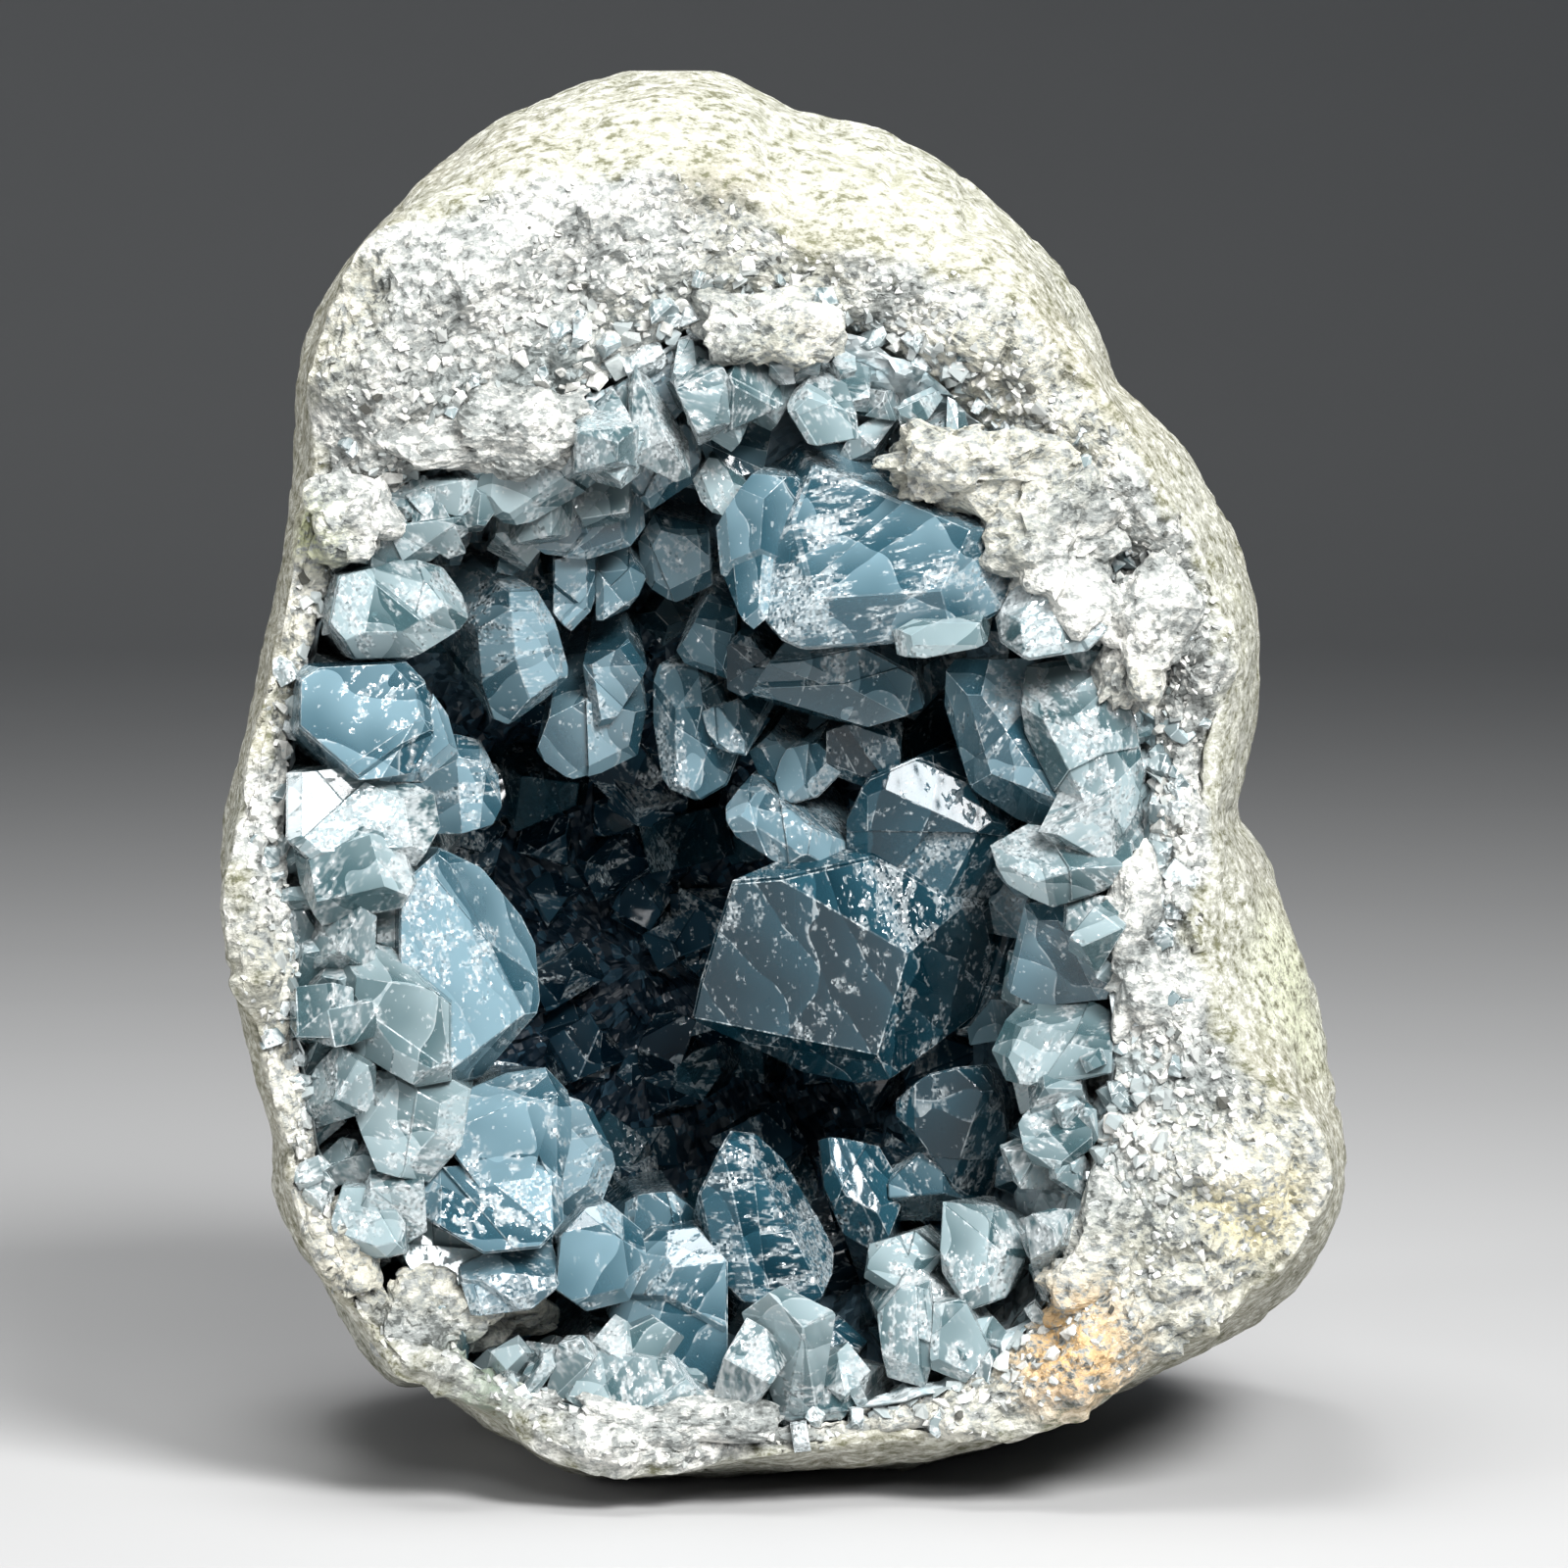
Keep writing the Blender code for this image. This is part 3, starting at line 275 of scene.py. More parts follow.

# Each large crystal as it is seen from the front: its look, how cloudy it is, the depth of its front face,
# how that face slopes to the right and upwards, the way its root runs back, and its outline.
# The deep look gives a crystal far into the hollow a darker copy of the blue, a painted shade.
BACK = (0.0, 1.0, 0.0)
CRYSTALS = {
    "roof_glass": ("ice", 0.45, -34, (0.15, -0.25), (-0.2, 0.7, 0.6), [
        (-33.5, 105.5), (-29.5, 101.5), (-26.5, 101.5), (-21.5, 104), (-17, 107), (-14, 111.5), (-17, 115),
        (-26.5, 116.5), (-33, 112)]),
    "roof_grey": ("ice", 0.6, -36, (0.2, -0.2), BACK, [
        (-45, 102), (-33.5, 103.5), (-33.5, 101), (-37, 98.5), (-44.5, 98)]),
    "glass_round": ("ice", 0.35, -39, (0.25, 0.1), (-0.5, 0.8, 0.0), [
        (-47, 97), (-39, 99), (-34, 97.5), (-31.5, 94), (-33, 91), (-38, 88), (-45, 88), (-48, 92)]),
    "stepped_blue": ("slate", 0.35, -41, (0.1, 0.35), (-0.35, 0.8, 0.0), [
        (-51.5, 87), (-39.5, 87.5), (-37.5, 85.5), (-36.5, 80), (-39, 76), (-45, 75.5), (-51.5, 81)]),
    "stepped_low": ("slate", 0.3, -38, (0.3, 0.2), (-0.4, 0.8, 0.0), [
        (-39, 86), (-35.5, 82), (-34.5, 78), (-38, 75), (-43, 75), (-43, 82)]),
    "green_back": ("slate", 0.15, -20, (0.2, 0.1), (-0.8, 0.6, 0.0), [
        (-34.5, 80.5), (-30.5, 79.5), (-28.5, 75.5), (-31, 70.5), (-36.5, 69), (-37, 76)]),
    "ice_white": ("ice", 0.75, -41, (0.15, 0.25), (-0.1, 1.0, 0.0), [
        (-53, 76), (-42, 77), (-37.5, 75), (-36.5, 70), (-39, 66), (-49, 65.5), (-53, 69)]),
    "cloudy_block": ("ice", 0.7, -43, (-0.1, 0.2), (0.05, 1.0, 0.0), [
        (-53, 69), (-47, 71), (-41, 69), (-39.5, 64), (-41, 61.5), (-49.5, 59.5), (-52, 64)]),
    "left_tip": ("slate", 0.3, -39, (0.12, 0.12), (-0.3, 0.9, 0.0), [
        (-41, 64), (-36.5, 68), (-31, 65.5), (-26, 60), (-24.5, 57), (-25, 51.5), (-30, 43), (-35.5, 42),
        (-41, 49)]),
    "veined": ("ice", 0.25, -43, (-0.2, 0.12), (0.0, 1.0, 0.0), [
        (-50, 58), (-42, 57), (-35.5, 51.5), (-35.5, 43), (-39, 42.5), (-46, 46), (-50.5, 52)]),
    "edge_dark_a": ("ice", 0.3, -38, (-0.3, 0.0), (0.15, 1.0, 0.0), [
        (-54.5, 62), (-51.5, 63), (-49, 58), (-50, 54.5), (-53.5, 55.5)]),
    "edge_dark_b": ("ice", 0.25, -38, (-0.3, 0.1), (0.15, 1.0, 0.0), [
        (-52.5, 54), (-49.5, 52), (-47.5, 46), (-49, 41), (-51.5, 42), (-53, 48)]),
    "violet_block": ("slate", 0.2, -38, (0.15, 0.1), (-0.2, 0.9, -0.1), [
        (-34, 42), (-29, 44), (-25, 44.5), (-22.5, 42), (-22.5, 37), (-24, 31), (-32, 31), (-36, 36.5)]),
    "striped_block": ("ice", 0.5, -42, (-0.15, 0.1), (0.0, 1.0, 0.0), [
        (-46.5, 40.5), (-44, 44), (-37.5, 44), (-33.5, 42), (-34.5, 36), (-38, 32), (-43.5, 33.5)]),
    "under_block": ("slate", 0.55, -40, (0.1, 0.5), (-0.1, 1.0, -0.1), [
        (-39, 33.5), (-31.5, 34), (-23.5, 33.5), (-23.5, 28), (-26, 25.5), (-32, 25), (-39, 29)]),
    "striated_point": ("slate", 0.35, -26, (0.3, 0.0), (-0.6, 0.8, -0.1), [
        (-24, 42), (-20, 40.5), (-17, 34), (-18.5, 30), (-25, 25.5), (-27, 34)]),
    "small_pale": ("ice", 0.45, -42, (-0.1, 0.1), (0.1, 1.0, 0.1), [
        (-47.5, 31.5), (-43, 31.5), (-40.5, 28), (-40.5, 24.5), (-44.5, 23.5), (-47.5, 24.5), (-48.5, 28)]),
    "pale_grey": ("slate", 0.5, -40, (0.1, 0.3), (0.0, 1.0, 0.1), [
        (-35, 22.5), (-29, 25), (-25, 24.5), (-23.5, 21.5), (-27, 18.5), (-33.5, 18)]),
    "pale_block": ("slate", 0.3, -38, (0.15, 0.1), (-0.1, 1.0, -0.1), [
        (-24, 26.5), (-21, 29.5), (-18.5, 30), (-15, 27), (-14.5, 23.5), (-16.5, 19.5), (-21, 18.5),
        (-24.5, 21)]),
    "tall_grey": ("slate", 0.2, -35, (-0.1, 0.2), (-0.1, 1.0, 0.0), [
        (-16.5, 24), (-13.5, 26.5), (-9, 27), (-6, 24), (-6, 7), (-10.5, 5.5), (-16.5, 8), (-18.5, 17.5)]),
    "round_grey": ("ice", 0.5, -41, (0.0, 0.2), (0.0, 1.0, 0.1), [
        (-25.5, 10), (-21, 14), (-12.5, 13), (-7, 8), (-7, 4.5), (-15.5, 4), (-23, 5.5)]),
    "tablet": ("deep", 0.55, -33, (0.2, 0.15), (-0.1, 0.9, -0.5), [
        (-5.5, 38.5), (-2.5, 38.5), (0.5, 37), (4, 31.5), (6, 27.5), (5.5, 23.5), (4, 20), (0.5, 18),
        (-4.5, 20), (-7, 23), (-9, 32)]),
    "navy_right": ("deep", 0.1, -20, (-0.25, -0.1), (0.6, 0.8, -0.1), [
        (11, 41), (15.5, 44), (21, 45.5), (22.5, 42), (22.5, 35.5), (20.5, 29.5), (15, 31), (11, 36.5)]),
    "ledge_grey": ("ice", 0.3, -35, (-0.3, 0.2), (0.5, 0.8, 0.0), [
        (21.5, 46), (24, 51.5), (29, 52.5), (35, 51.5), (37.5, 48), (35.5, 44), (29, 42.5), (23, 43)]),
    "dark_grey": ("slate", 0.1, -32, (-0.2, -0.1), (0.5, 0.8, 0.0), [
        (25, 62), (34.5, 62), (36.5, 58), (34.5, 52), (27, 51), (23, 53)]),
    "oval_clear": ("ice", 0.3, -36, (-0.2, 0.1), (0.4, 0.9, 0.0), [
        (25, 38.5), (26.5, 41), (30, 41.5), (33, 39.5), (33, 36), (29.5, 33.5), (26, 34)]),
    "navy_behind": ("deep", 0.0, -14, (-0.3, 0.0), (0.8, 0.6, 0.0), [
        (18.5, 59), (24, 62), (25.5, 58), (22, 47), (19.5, 46), (17, 49)]),
    "centre_block": ("deep", 0.3, -25, (0.05, -0.22), (0.75, 0.75, 0.25), [
        (-5.5, 65), (7.5, 66), (18.5, 59.5), (18.5, 55), (16, 46.5), (10, 42), (5.5, 41), (-1.5, 42.5),
        (-10, 49.5), (-9, 54)]),
    "grey_arrow": ("slate", 0.45, -20, (-0.2, 0.1), (0.1, 0.8, 0.5), [
        (-8.5, 93.5), (-5, 92.5), (-5, 89.5), (-6, 85.5), (-10.5, 87), (-11.5, 88.5)]),
    "long_grey": ("slate", 0.5, -22, (-0.2, 0.1), (0.3, 0.9, 0.4), [
        (-15, 86.5), (-10.5, 87), (-9, 84.5), (-5.5, 77), (-7, 73), (-10, 72.5), (-13.5, 74.5),
        (-15, 80.5)]),
    "bright_sliver": ("slate", 0.5, -23, (-0.3, 0.5), (0.3, 0.8, 0.4), [
        (-9, 83), (-7.5, 83.5), (-4, 79.5), (-4, 78), (-7.5, 78.5)]),
    "shell_grey": ("slate", 0.35, -24, (-0.1, 0.3), (0.4, 0.8, 0.3), [
        (-7.5, 72), (-5.5, 75), (-3, 76), (1.5, 73), (5, 68.5), (4.5, 65), (-2, 66), (-6, 68.5)]),
    "mid_grey": ("slate", 0.3, -22, (-0.3, 0.2), (0.4, 0.8, 0.3), [
        (-1, 76), (0.5, 78.5), (4.5, 79.5), (6, 76), (3, 73), (0, 72.5)]),
    "small_blue": ("slate", 0.25, -21, (-0.2, 0.1), (0.2, 0.9, 0.3), [
        (-4, 78), (-1.5, 80), (1, 78), (-0.5, 74.5), (-3, 75.5)]),
    "brow_block": ("slate", 0.4, -39, (-0.12, 0.42), (0.25, 0.8, 0.35), [
        (-6, 99), (-3, 107), (2.5, 111.5), (10.5, 112), (19, 108.5), (25, 103), (26.5, 99), (22, 92),
        (20.5, 89), (8, 87.5), (0.5, 87), (-3.5, 90)]),
    "brow_step": ("slate", 0.2, -36, (-0.45, 0.2), (0.25, 0.8, 0.35), [
        (-7.5, 101.5), (-3.5, 107.5), (1, 107), (0, 94), (-3.5, 91), (-7, 96.5)]),
    "brow_foot": ("ice", 0.2, -42, (0.0, 0.1), (0.2, 0.9, 0.2), [
        (11, 90.5), (13.5, 92), (21, 92), (21.5, 89.5), (15, 88), (11.5, 88)]),
    "white_crumb": ("ice", 0.85, -39, (0.1, 0.3), (0.0, 1.0, 0.1), [
        (22.5, 92), (26.5, 100), (32, 97.5), (35, 92), (32.5, 89), (26, 88), (23, 89.5)]),
    "tabular": ("slate", 0.15, -29, (-0.1, -0.45), (0.25, 0.8, 0.3), [
        (-4, 84), (-1.5, 88), (8.5, 89), (14, 86), (15, 83), (8.5, 81), (2.5, 80.5), (-2.5, 82)]),
    "right_large": ("slate", 0.2, -33, (-0.25, -0.1), (0.6, 0.8, 0.0), [
        (15, 83), (16.5, 88), (25, 88), (28, 81), (33, 74), (33.5, 65.5), (22.5, 69.5), (18, 73.5)]),
    "right_tooth": ("ice", 0.35, -37, (-0.1, 0.05), (0.2, 1.0, 0.0), [
        (24.5, 87), (31.5, 88), (37.5, 82), (38.5, 76), (37.5, 71), (33.5, 65.5), (29, 72), (25, 80)]),
    "bright_tip": ("ice", 0.3, -38, (-0.1, 0.3), (0.2, 1.0, 0.0), [
        (21.5, 68), (25, 70), (33.5, 69), (37.5, 68.5), (37.5, 65), (33, 63), (28, 61.5), (23.5, 64)]),
    "navy_block": ("deep", 0.1, -24, (-0.15, -0.25), (0.6, 0.8, 0.2), [
        (5.5, 70.5), (8.5, 75.5), (13, 77.5), (18.5, 75), (23, 70), (23, 65), (21, 61), (15, 61), (9, 62),
        (5.5, 66)]),
    "teal_small": ("deep", 0.2, -23, (0.0, -0.1), (0.3, 0.9, 0.2), [
        (4.5, 80.5), (9, 82), (12, 81), (13, 77), (8.5, 74), (4.5, 75.5)]),
    "pale_teal": ("ice", 0.4, -37, (-0.2, 0.2), (0.3, 1.0, -0.1), [
        (17, 30), (23, 29.5), (26, 25), (23.5, 20), (19.5, 18.5), (16.5, 22.5)]),
    "clear_low": ("ice", 0.3, -33, (-0.1, 0.2), (0.1, 1.0, -0.1), [
        (9, 25.5), (14, 27), (17, 24.5), (15, 21.5), (11, 20.5), (8.5, 22)]),
    "pillar_a": ("ice", 0.5, -37, (-0.2, 0.1), (0.1, 1.0, 0.0), [
        (10, 18), (12.5, 21), (15.5, 21.5), (16.5, 15.5), (15, 10), (11, 11)]),
    "pillar_b": ("ice", 0.55, -38, (-0.1, 0.2), (0.1, 1.0, 0.1), [
        (16, 20), (19.5, 19.5), (22, 14.5), (19.5, 10), (15.5, 12)]),
    "teal_floor": ("deep", 0.3, -29, (0.0, 0.4), (0.0, 0.9, -0.3), [
        (-4.5, 18), (0, 20), (5, 19), (9, 15.5), (6.5, 12), (0, 11), (-4, 13)]),
    "floor_blue": ("deep", 0.3, -20, (0.1, 0.4), (0.1, 0.9, -0.4), [
        (3.5, 37), (10, 36.5), (13, 31.5), (10.5, 25.5), (6, 28), (4, 32)]),
    "floor_violet": ("slate", 0.3, -27, (-0.1, 0.35), (0.0, 0.9, -0.4), [
        (-17, 30.5), (-12, 31.5), (-8.5, 29), (-8, 24.5), (-14, 23), (-17.5, 26)]),
    "lit_facet": ("deep", 0.4, -6, (-0.3, 0.3), (0.2, 0.9, 0.0), [
        (-12, 45.5), (-7.5, 47), (-7, 44), (-9, 41), (-12, 42)]),
    "small_clear": ("ice", 0.4, -38, (0.0, 0.2), (0.0, 1.0, 0.0), [
        (1, 10), (4, 13), (7, 12), (8, 9), (6.5, 6), (2, 6.5)]),
    "pointed_a": ("slate", 0.2, -25, (0.3, -0.1), (-0.4, 0.7, 0.5), [
        (-31.5, 90), (-28.5, 95), (-25.5, 95), (-23.5, 91.5), (-22, 86), (-24, 82), (-27.5, 79.5),
        (-29.5, 79.5), (-31, 84)]),
    "pointed_b": ("slate", 0.3, -22, (0.2, -0.1), (-0.2, 0.8, 0.4), [
        (-24.5, 93), (-24.5, 99), (-19.5, 99.5), (-19.5, 94), (-22.5, 90.5)]),
    "blue_a": ("slate", 0.2, -19, (-0.1, 0.0), (0.0, 0.8, 0.3), [
        (-20, 99), (-16.5, 99.5), (-14.5, 96.5), (-16.5, 93), (-20, 92)]),
    "blue_b": ("slate", 0.2, -18, (-0.2, -0.1), (0.1, 0.8, 0.4), [
        (-16, 100), (-14, 103.5), (-8, 102), (-7.5, 95.5), (-11.5, 93.5), (-15.5, 96)]),
    "blue_c": ("slate", 0.2, -19, (0.1, -0.1), (0.0, 0.8, 0.3), [
        (-21.5, 87), (-16.5, 90), (-14.5, 87), (-18.5, 81), (-20.5, 80.5)]),
    "dark_mass": ("slate", 0.0, -17, (0.1, -0.2), (0.0, 0.8, 0.5), [
        (-26.5, 78), (-25, 82), (-21, 84), (-14.5, 82.5), (-15.5, 77.5), (-19.5, 75.5), (-22.5, 75)]),
    "glass_small": ("ice", 0.4, -29, (-0.1, 0.3), (0.1, 0.8, 0.5), [
        (-10, 106.5), (-8, 109.5), (-5, 109), (-4, 106.5), (-6.5, 103), (-9, 104)]),
    "roof_a": ("slate", 0.45, -30, (0.1, -0.2), (0.0, 0.8, 0.5), [
        (-18.5, 118), (-15.5, 122), (-10.5, 122), (-8.5, 116.5), (-11.5, 113), (-16.5, 114)]),
    "roof_b": ("slate", 0.3, -27, (0.1, -0.1), (0.0, 0.7, 0.6), [
        (-16.5, 112.5), (-11.5, 114), (-8.5, 111), (-9.5, 106), (-14, 103), (-17, 106)]),
    "roof_c": ("slate", 0.2, -25, (0.2, -0.2), (-0.1, 0.7, 0.6), [
        (-27, 101), (-21, 105), (-15, 106.5), (-14.5, 100), (-21, 98), (-25.5, 98.5)]),
    "roof_d": ("ice", 0.5, -36, (-0.1, 0.1), (0.0, 0.8, 0.5), [
        (0, 114.5), (3, 117.5), (7.5, 116), (8, 111.5), (2.5, 110.5)]),
    "between": ("deep", 0.2, -22, (-0.2, -0.1), (0.1, 0.9, 0.3), [
        (-6, 91), (-3.5, 90.5), (0, 86.5), (-4, 83.5), (-6, 85)]),
}

# Crystals that show in the gaps between the others, in the same form.
GAP_CRYSTALS = [
    ("ice", 0.5, -36, (0.1, 0.3), (0.0, 1.0, 0.1), [
        (-41.5, 29), (-36, 28.5), (-31, 26), (-32.5, 22), (-38, 20), (-41.5, 23.5)]),
    ("ice", 0.4, -37, (0.15, 0.1), (0.0, 1.0, 0.0), [
        (-43.5, 64.5), (-38, 65), (-36.5, 60), (-39, 56.5), (-43.5, 58)]),
]


def place(right, up, depth):
    """Turns a point of the front view, at a depth behind its middle plane, into the stone's frame."""
    nearness = 1.0 + depth / VIEW_RANGE
    across = right * nearness
    height = (up - VIEW_MIDDLE) * nearness - depth * math.sin(VIEW_TILT)
    return Vector((across, depth + MIDDLE_DEPTH, MIDDLE_HEIGHT + height / math.cos(VIEW_TILT))) * MM


def seen(spot):
    """Turns a point of the stone's frame back into the front view and its depth."""
    across, away, high = spot / MM
    depth = away - MIDDLE_DEPTH
    nearness = 1.0 + depth / VIEW_RANGE
    height = (high - MIDDLE_HEIGHT) * math.cos(VIEW_TILT) + depth * math.sin(VIEW_TILT)
    return across / nearness, VIEW_MIDDLE + height / nearness, depth


def polar(outline, middle):
    """Gives an outline as (angle, radius) about a middle point, sorted by angle."""
    points = []
    for right, up in outline:
        across, above = right - middle[0], up - middle[1]
        points.append((math.atan2(above, across) % math.tau, math.hypot(across, above)))
    return sorted(points)


def radius_at(points, angle):
    """Reads a smooth closed curve through polar points, as a cubic with the slopes of its neighbours."""
    angle %= math.tau
    count = len(points)
    after = next((i for i, (a, r) in enumerate(points) if a > angle), 0)
    angles, radii = [], []
    for step in (-2, -1, 0, 1):
        index = after + step
        a, r = points[index % count]
        angles.append(a + math.tau * (index // count))
        radii.append(r)
    if angles[1] > angle:
        angle += math.tau
    elif angles[2] < angle:
        angle -= math.tau
    span = angles[2] - angles[1]
    t = (angle - angles[1]) / span
    slope_in = (radii[2] - radii[0]) / (angles[2] - angles[0]) * span
    slope_out = (radii[3] - radii[1]) / (angles[3] - angles[1]) * span
    return ((2 * t**3 - 3 * t**2 + 1) * radii[1] + (t**3 - 2 * t**2 + t) * slope_in
            + (3 * t**2 - 2 * t**3) * radii[2] + (t**3 - t**2) * slope_out)


def tabled(outline):
    """A curve read once at many angles, so that it is quick to look up."""
    points = polar(outline, STONE_MIDDLE)
    return [radius_at(points, math.tau * step / TABLE_STEPS) for step in range(TABLE_STEPS)]


def looked_up(table, angle):
    """Reads a tabled curve at an angle."""
    place_in = angle / math.tau * TABLE_STEPS
    low = math.floor(place_in)
    share = place_in - low
    return table[low % TABLE_STEPS] * (1.0 - share) + table[(low + 1) % TABLE_STEPS] * share


OUTLINE_CURVE = tabled(SILHOUETTE)
RIND_CURVE = tabled(RIND_EDGE)
MOUTH_CURVE = tabled(MOUTH)


def smooth_step(value, low, high):
    """0 below low, 1 above high, and a smooth rise between."""
    share = min(1.0, max(0.0, (value - low) / (high - low)))
    return share * share * (3.0 - 2.0 * share)


def face_depths(angle):
    """Depths of the rind's edge and of the mouth: the broken face leans back to the top and the right."""
    rind = RIND_EDGE_DEPTH + FACE_LEAN * (FACE_LEAN_UP * math.sin(angle) + FACE_LEAN_RIGHT * math.cos(angle))
    for count, height, start in FACE_WAVES:
        rind += height * math.sin(count * angle + start)
    return rind, rind + FACE_INSET


def face_depth(angle, share):
    """Depth of the bulging broken face, from the rind's edge at share 0 to the mouth at share 1."""
    rind_depth, mouth_depth = face_depths(angle)
    width = looked_up(RIND_CURVE, angle) - looked_up(MOUTH_CURVE, angle)
    bulge = FACE_BULGE * min(1.0, width / FACE_WIDTH)
    return rind_depth + (mouth_depth - rind_depth) * share - bulge * math.sin(math.pi * share)


def back_radius(angle, depth):
    """Radius of the rind behind the outline's ring: a rounded boulder, squarer where it rests."""
    power = BACK_POWER + RESTING_POWER_GAIN * max(0.0, -math.sin(angle))
    share = min(1.0, (depth - OUTLINE_DEPTH) / (BACK_DEPTH - OUTLINE_DEPTH))
    return looked_up(OUTLINE_CURVE, angle) * (1.0 - share**power) ** (1.0 / power)


def hollow_ring(angle, share, inset=0.0):
    """Radius, depth and middle of the hollow's wall, or of a surface inside it, from mouth to bottom."""
    mouth_depth = face_depths(angle)[1]
    power = HOLLOW_POWER - HOLLOW_ROOF_LOSS * max(0.0, math.cos(angle - HOLLOW_ROOF_ANGLE))
    power -= HOLLOW_FLOOR_LOSS * max(0.0, -math.sin(angle))
    turn = math.pi / 2 * share
    radius = (looked_up(MOUTH_CURVE, angle) - inset) * max(0.0, math.cos(turn)) ** (2.0 / power)
    forward = math.sin(turn) ** (2.0 / power)
    depth = mouth_depth + (HOLLOW_DEPTH - inset - mouth_depth) * forward
    middle = tuple(a + (b - a) * forward for a, b in zip(STONE_MIDDLE, HOLLOW_MIDDLE))
    return radius, depth, middle


def ring_point(angle, radius, depth, middle=STONE_MIDDLE):
    """A point of the stone at an angle and radius about a middle, in the front view."""
    return (middle[0] + radius * math.cos(angle), middle[1] + radius * math.sin(angle), depth)


def stone_section(angle):
    """One section of the stone, from behind its back to the bottom of its hollow.

    Each point has its radius, depth, middle, relief and how far it lies past the rind's edge, in millimetres.
    """
    rind_depth = face_depths(angle)[0]
    outline, rind, mouth = (looked_up(c, angle) for c in (OUTLINE_CURVE, RIND_CURVE, MOUTH_CURVE))
    section = []
    for row in range(1, BACK_ROWS):
        turn = math.pi / 2 * row / BACK_ROWS
        depth = OUTLINE_DEPTH + (BACK_DEPTH - OUTLINE_DEPTH) * math.cos(turn)
        past = OUTLINE_DEPTH - depth - FAR_BEHIND
        section.append((back_radius(angle, depth), depth, STONE_MIDDLE, RIND_RELIEF, past))
    for row in range(SHOULDER_ROWS):
        turn = SHOULDER * row / SHOULDER_ROWS
        inward = (1.0 - math.cos(turn)) / (1.0 - math.cos(SHOULDER))
        forward = math.sin(turn) / math.sin(SHOULDER)
        radius = outline + (rind - outline) * inward
        depth = OUTLINE_DEPTH + (rind_depth - OUTLINE_DEPTH) * forward
        past = -(depth - rind_depth) - abs(radius - rind)
        relief = RIND_RELIEF + (RIM_RELIEF - RIND_RELIEF) * smooth_step(past, -RIM_BLEND, 0.0)
        section.append((radius, depth, STONE_MIDDLE, relief, past))
    for row in range(FACE_ROWS):
        share = row / FACE_ROWS
        relief = FACE_RELIEF * (FACE_CALM + (1.0 - FACE_CALM) * math.sin(math.pi * min(1.0, share + 0.25)))
        radius = rind + (mouth - rind) * share
        section.append((radius, face_depth(angle, share), STONE_MIDDLE, relief, (rind - mouth) * share))
    for row in range(HOLLOW_ROWS):
        section.append((*hollow_ring(angle, row / HOLLOW_ROWS), HOLLOW_RELIEF, rind - mouth + row))
    return section


def grid_faces(columns, rows):
    """The faces of a closed mesh of columns of points, with a pole before the first row and after the last.

    The poles are the two points after the columns.
    """
    first, last = columns * rows, columns * rows + 1
    faces = []
    for column in range(columns):
        here, there = column * rows, (column + 1) % columns * rows
        faces.append((first, there, here))
        faces.append((last, here + rows - 1, there + rows - 1))
        for row in range(rows - 1):
            faces.append((here + row, there + row, there + row + 1, here + row + 1))
    return faces


def facets(spot, span):
    """Height of a surface that is broken into small tilted flats, about -0.5 to 0.5."""
    cell = noise.voronoi(spot / span)[1][0]
    tilt = Vector([noise.noise(cell * FACET_SEED + shift) for shift in FACET_SHIFTS])
    return (spot / span - cell).dot(tilt) * FACET_TILT


def rock_lift(spot, relief):
    """Height of the rock's lumps, ledges, dents and cracks at a point, all in millimetres."""
    lift = noise.noise(spot / LUMP_SPAN) * LUMP_SHARE + noise.noise(spot / KNOB_SPAN) * KNOB_SHARE
    lift += noise.noise(spot / LEDGE_SPAN + LEDGE_SHIFT) * LEDGE_SHARE * min(1.0, relief / FACE_RELIEF)
    height = relief * lift + noise.noise(spot / WAVE_SPAN) * WAVE_HEIGHT
    height += noise.noise(spot / RIPPLE_SPAN) * RIPPLE_HEIGHT
    height -= DENT_DEPTH * max(0.0, noise.noise(spot / DENT_SPAN + DENT_SHIFT) - DENT_LEVEL)
    crack = max(0.0, 1.0 - abs(noise.noise(spot / CRACK_SPAN + LEDGE_SHIFT)) / CRACK_WIDTH)
    return height - CRACK_DEPTH * crack * smooth_step(noise.noise(spot / CRACK_PATCH_SPAN), 0.0, 0.2)


def crumb_lift(spot):
    """Height of the broken face's crumbs over their middle, as a share of the crumbs' height."""
    crumbs = sum(facets(spot, span) * share for span, share in CRUMB_FACETS)
    return crumbs + abs(noise.noise(spot / GRIT_SPAN)) * GRIT_SHARE - CRUMB_MIDDLE


def pit_depth(right, up):
    """How deep the dents of the broken face are at a point of the front view."""
    total = 0.0
    for (x, y), width, deep in PITS:
        total += deep * math.exp(-((right - x) ** 2 + (up - y) ** 2) / width**2)
    return total


def in_box(spot):
    """Keeps a point within the size of the CAD model."""
    low, high = CAD_BOX
    return Vector([min(max(c, a + EDGE_GAP), b - EDGE_GAP) for c, a, b in zip(spot, low, high)])


def new_object(name, points, faces, smooth=False, sort="FACE", **numbers):
    """A new piece from its points and faces, with numbers on its points or faces that its material reads."""
    mesh = bpy.data.meshes.new(name)
    mesh.from_pydata([tuple(point) for point in points], [], faces)
    for title, values in numbers.items():
        layer = mesh.attributes.new(title, "FLOAT", sort)
        layer.data.foreach_set("value", values)
    mesh.polygons.foreach_set("use_smooth", [smooth] * len(mesh.polygons))
    mesh.update()
    piece = bpy.data.objects.new(name, mesh)
    bpy.context.collection.objects.link(piece)
    return piece


def finish_piece(piece, node, material):
    """Gives a piece its material and its place on the CAD part."""
    piece.data.materials.append(material)
    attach(piece, "root")
    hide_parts(node)
    return piece


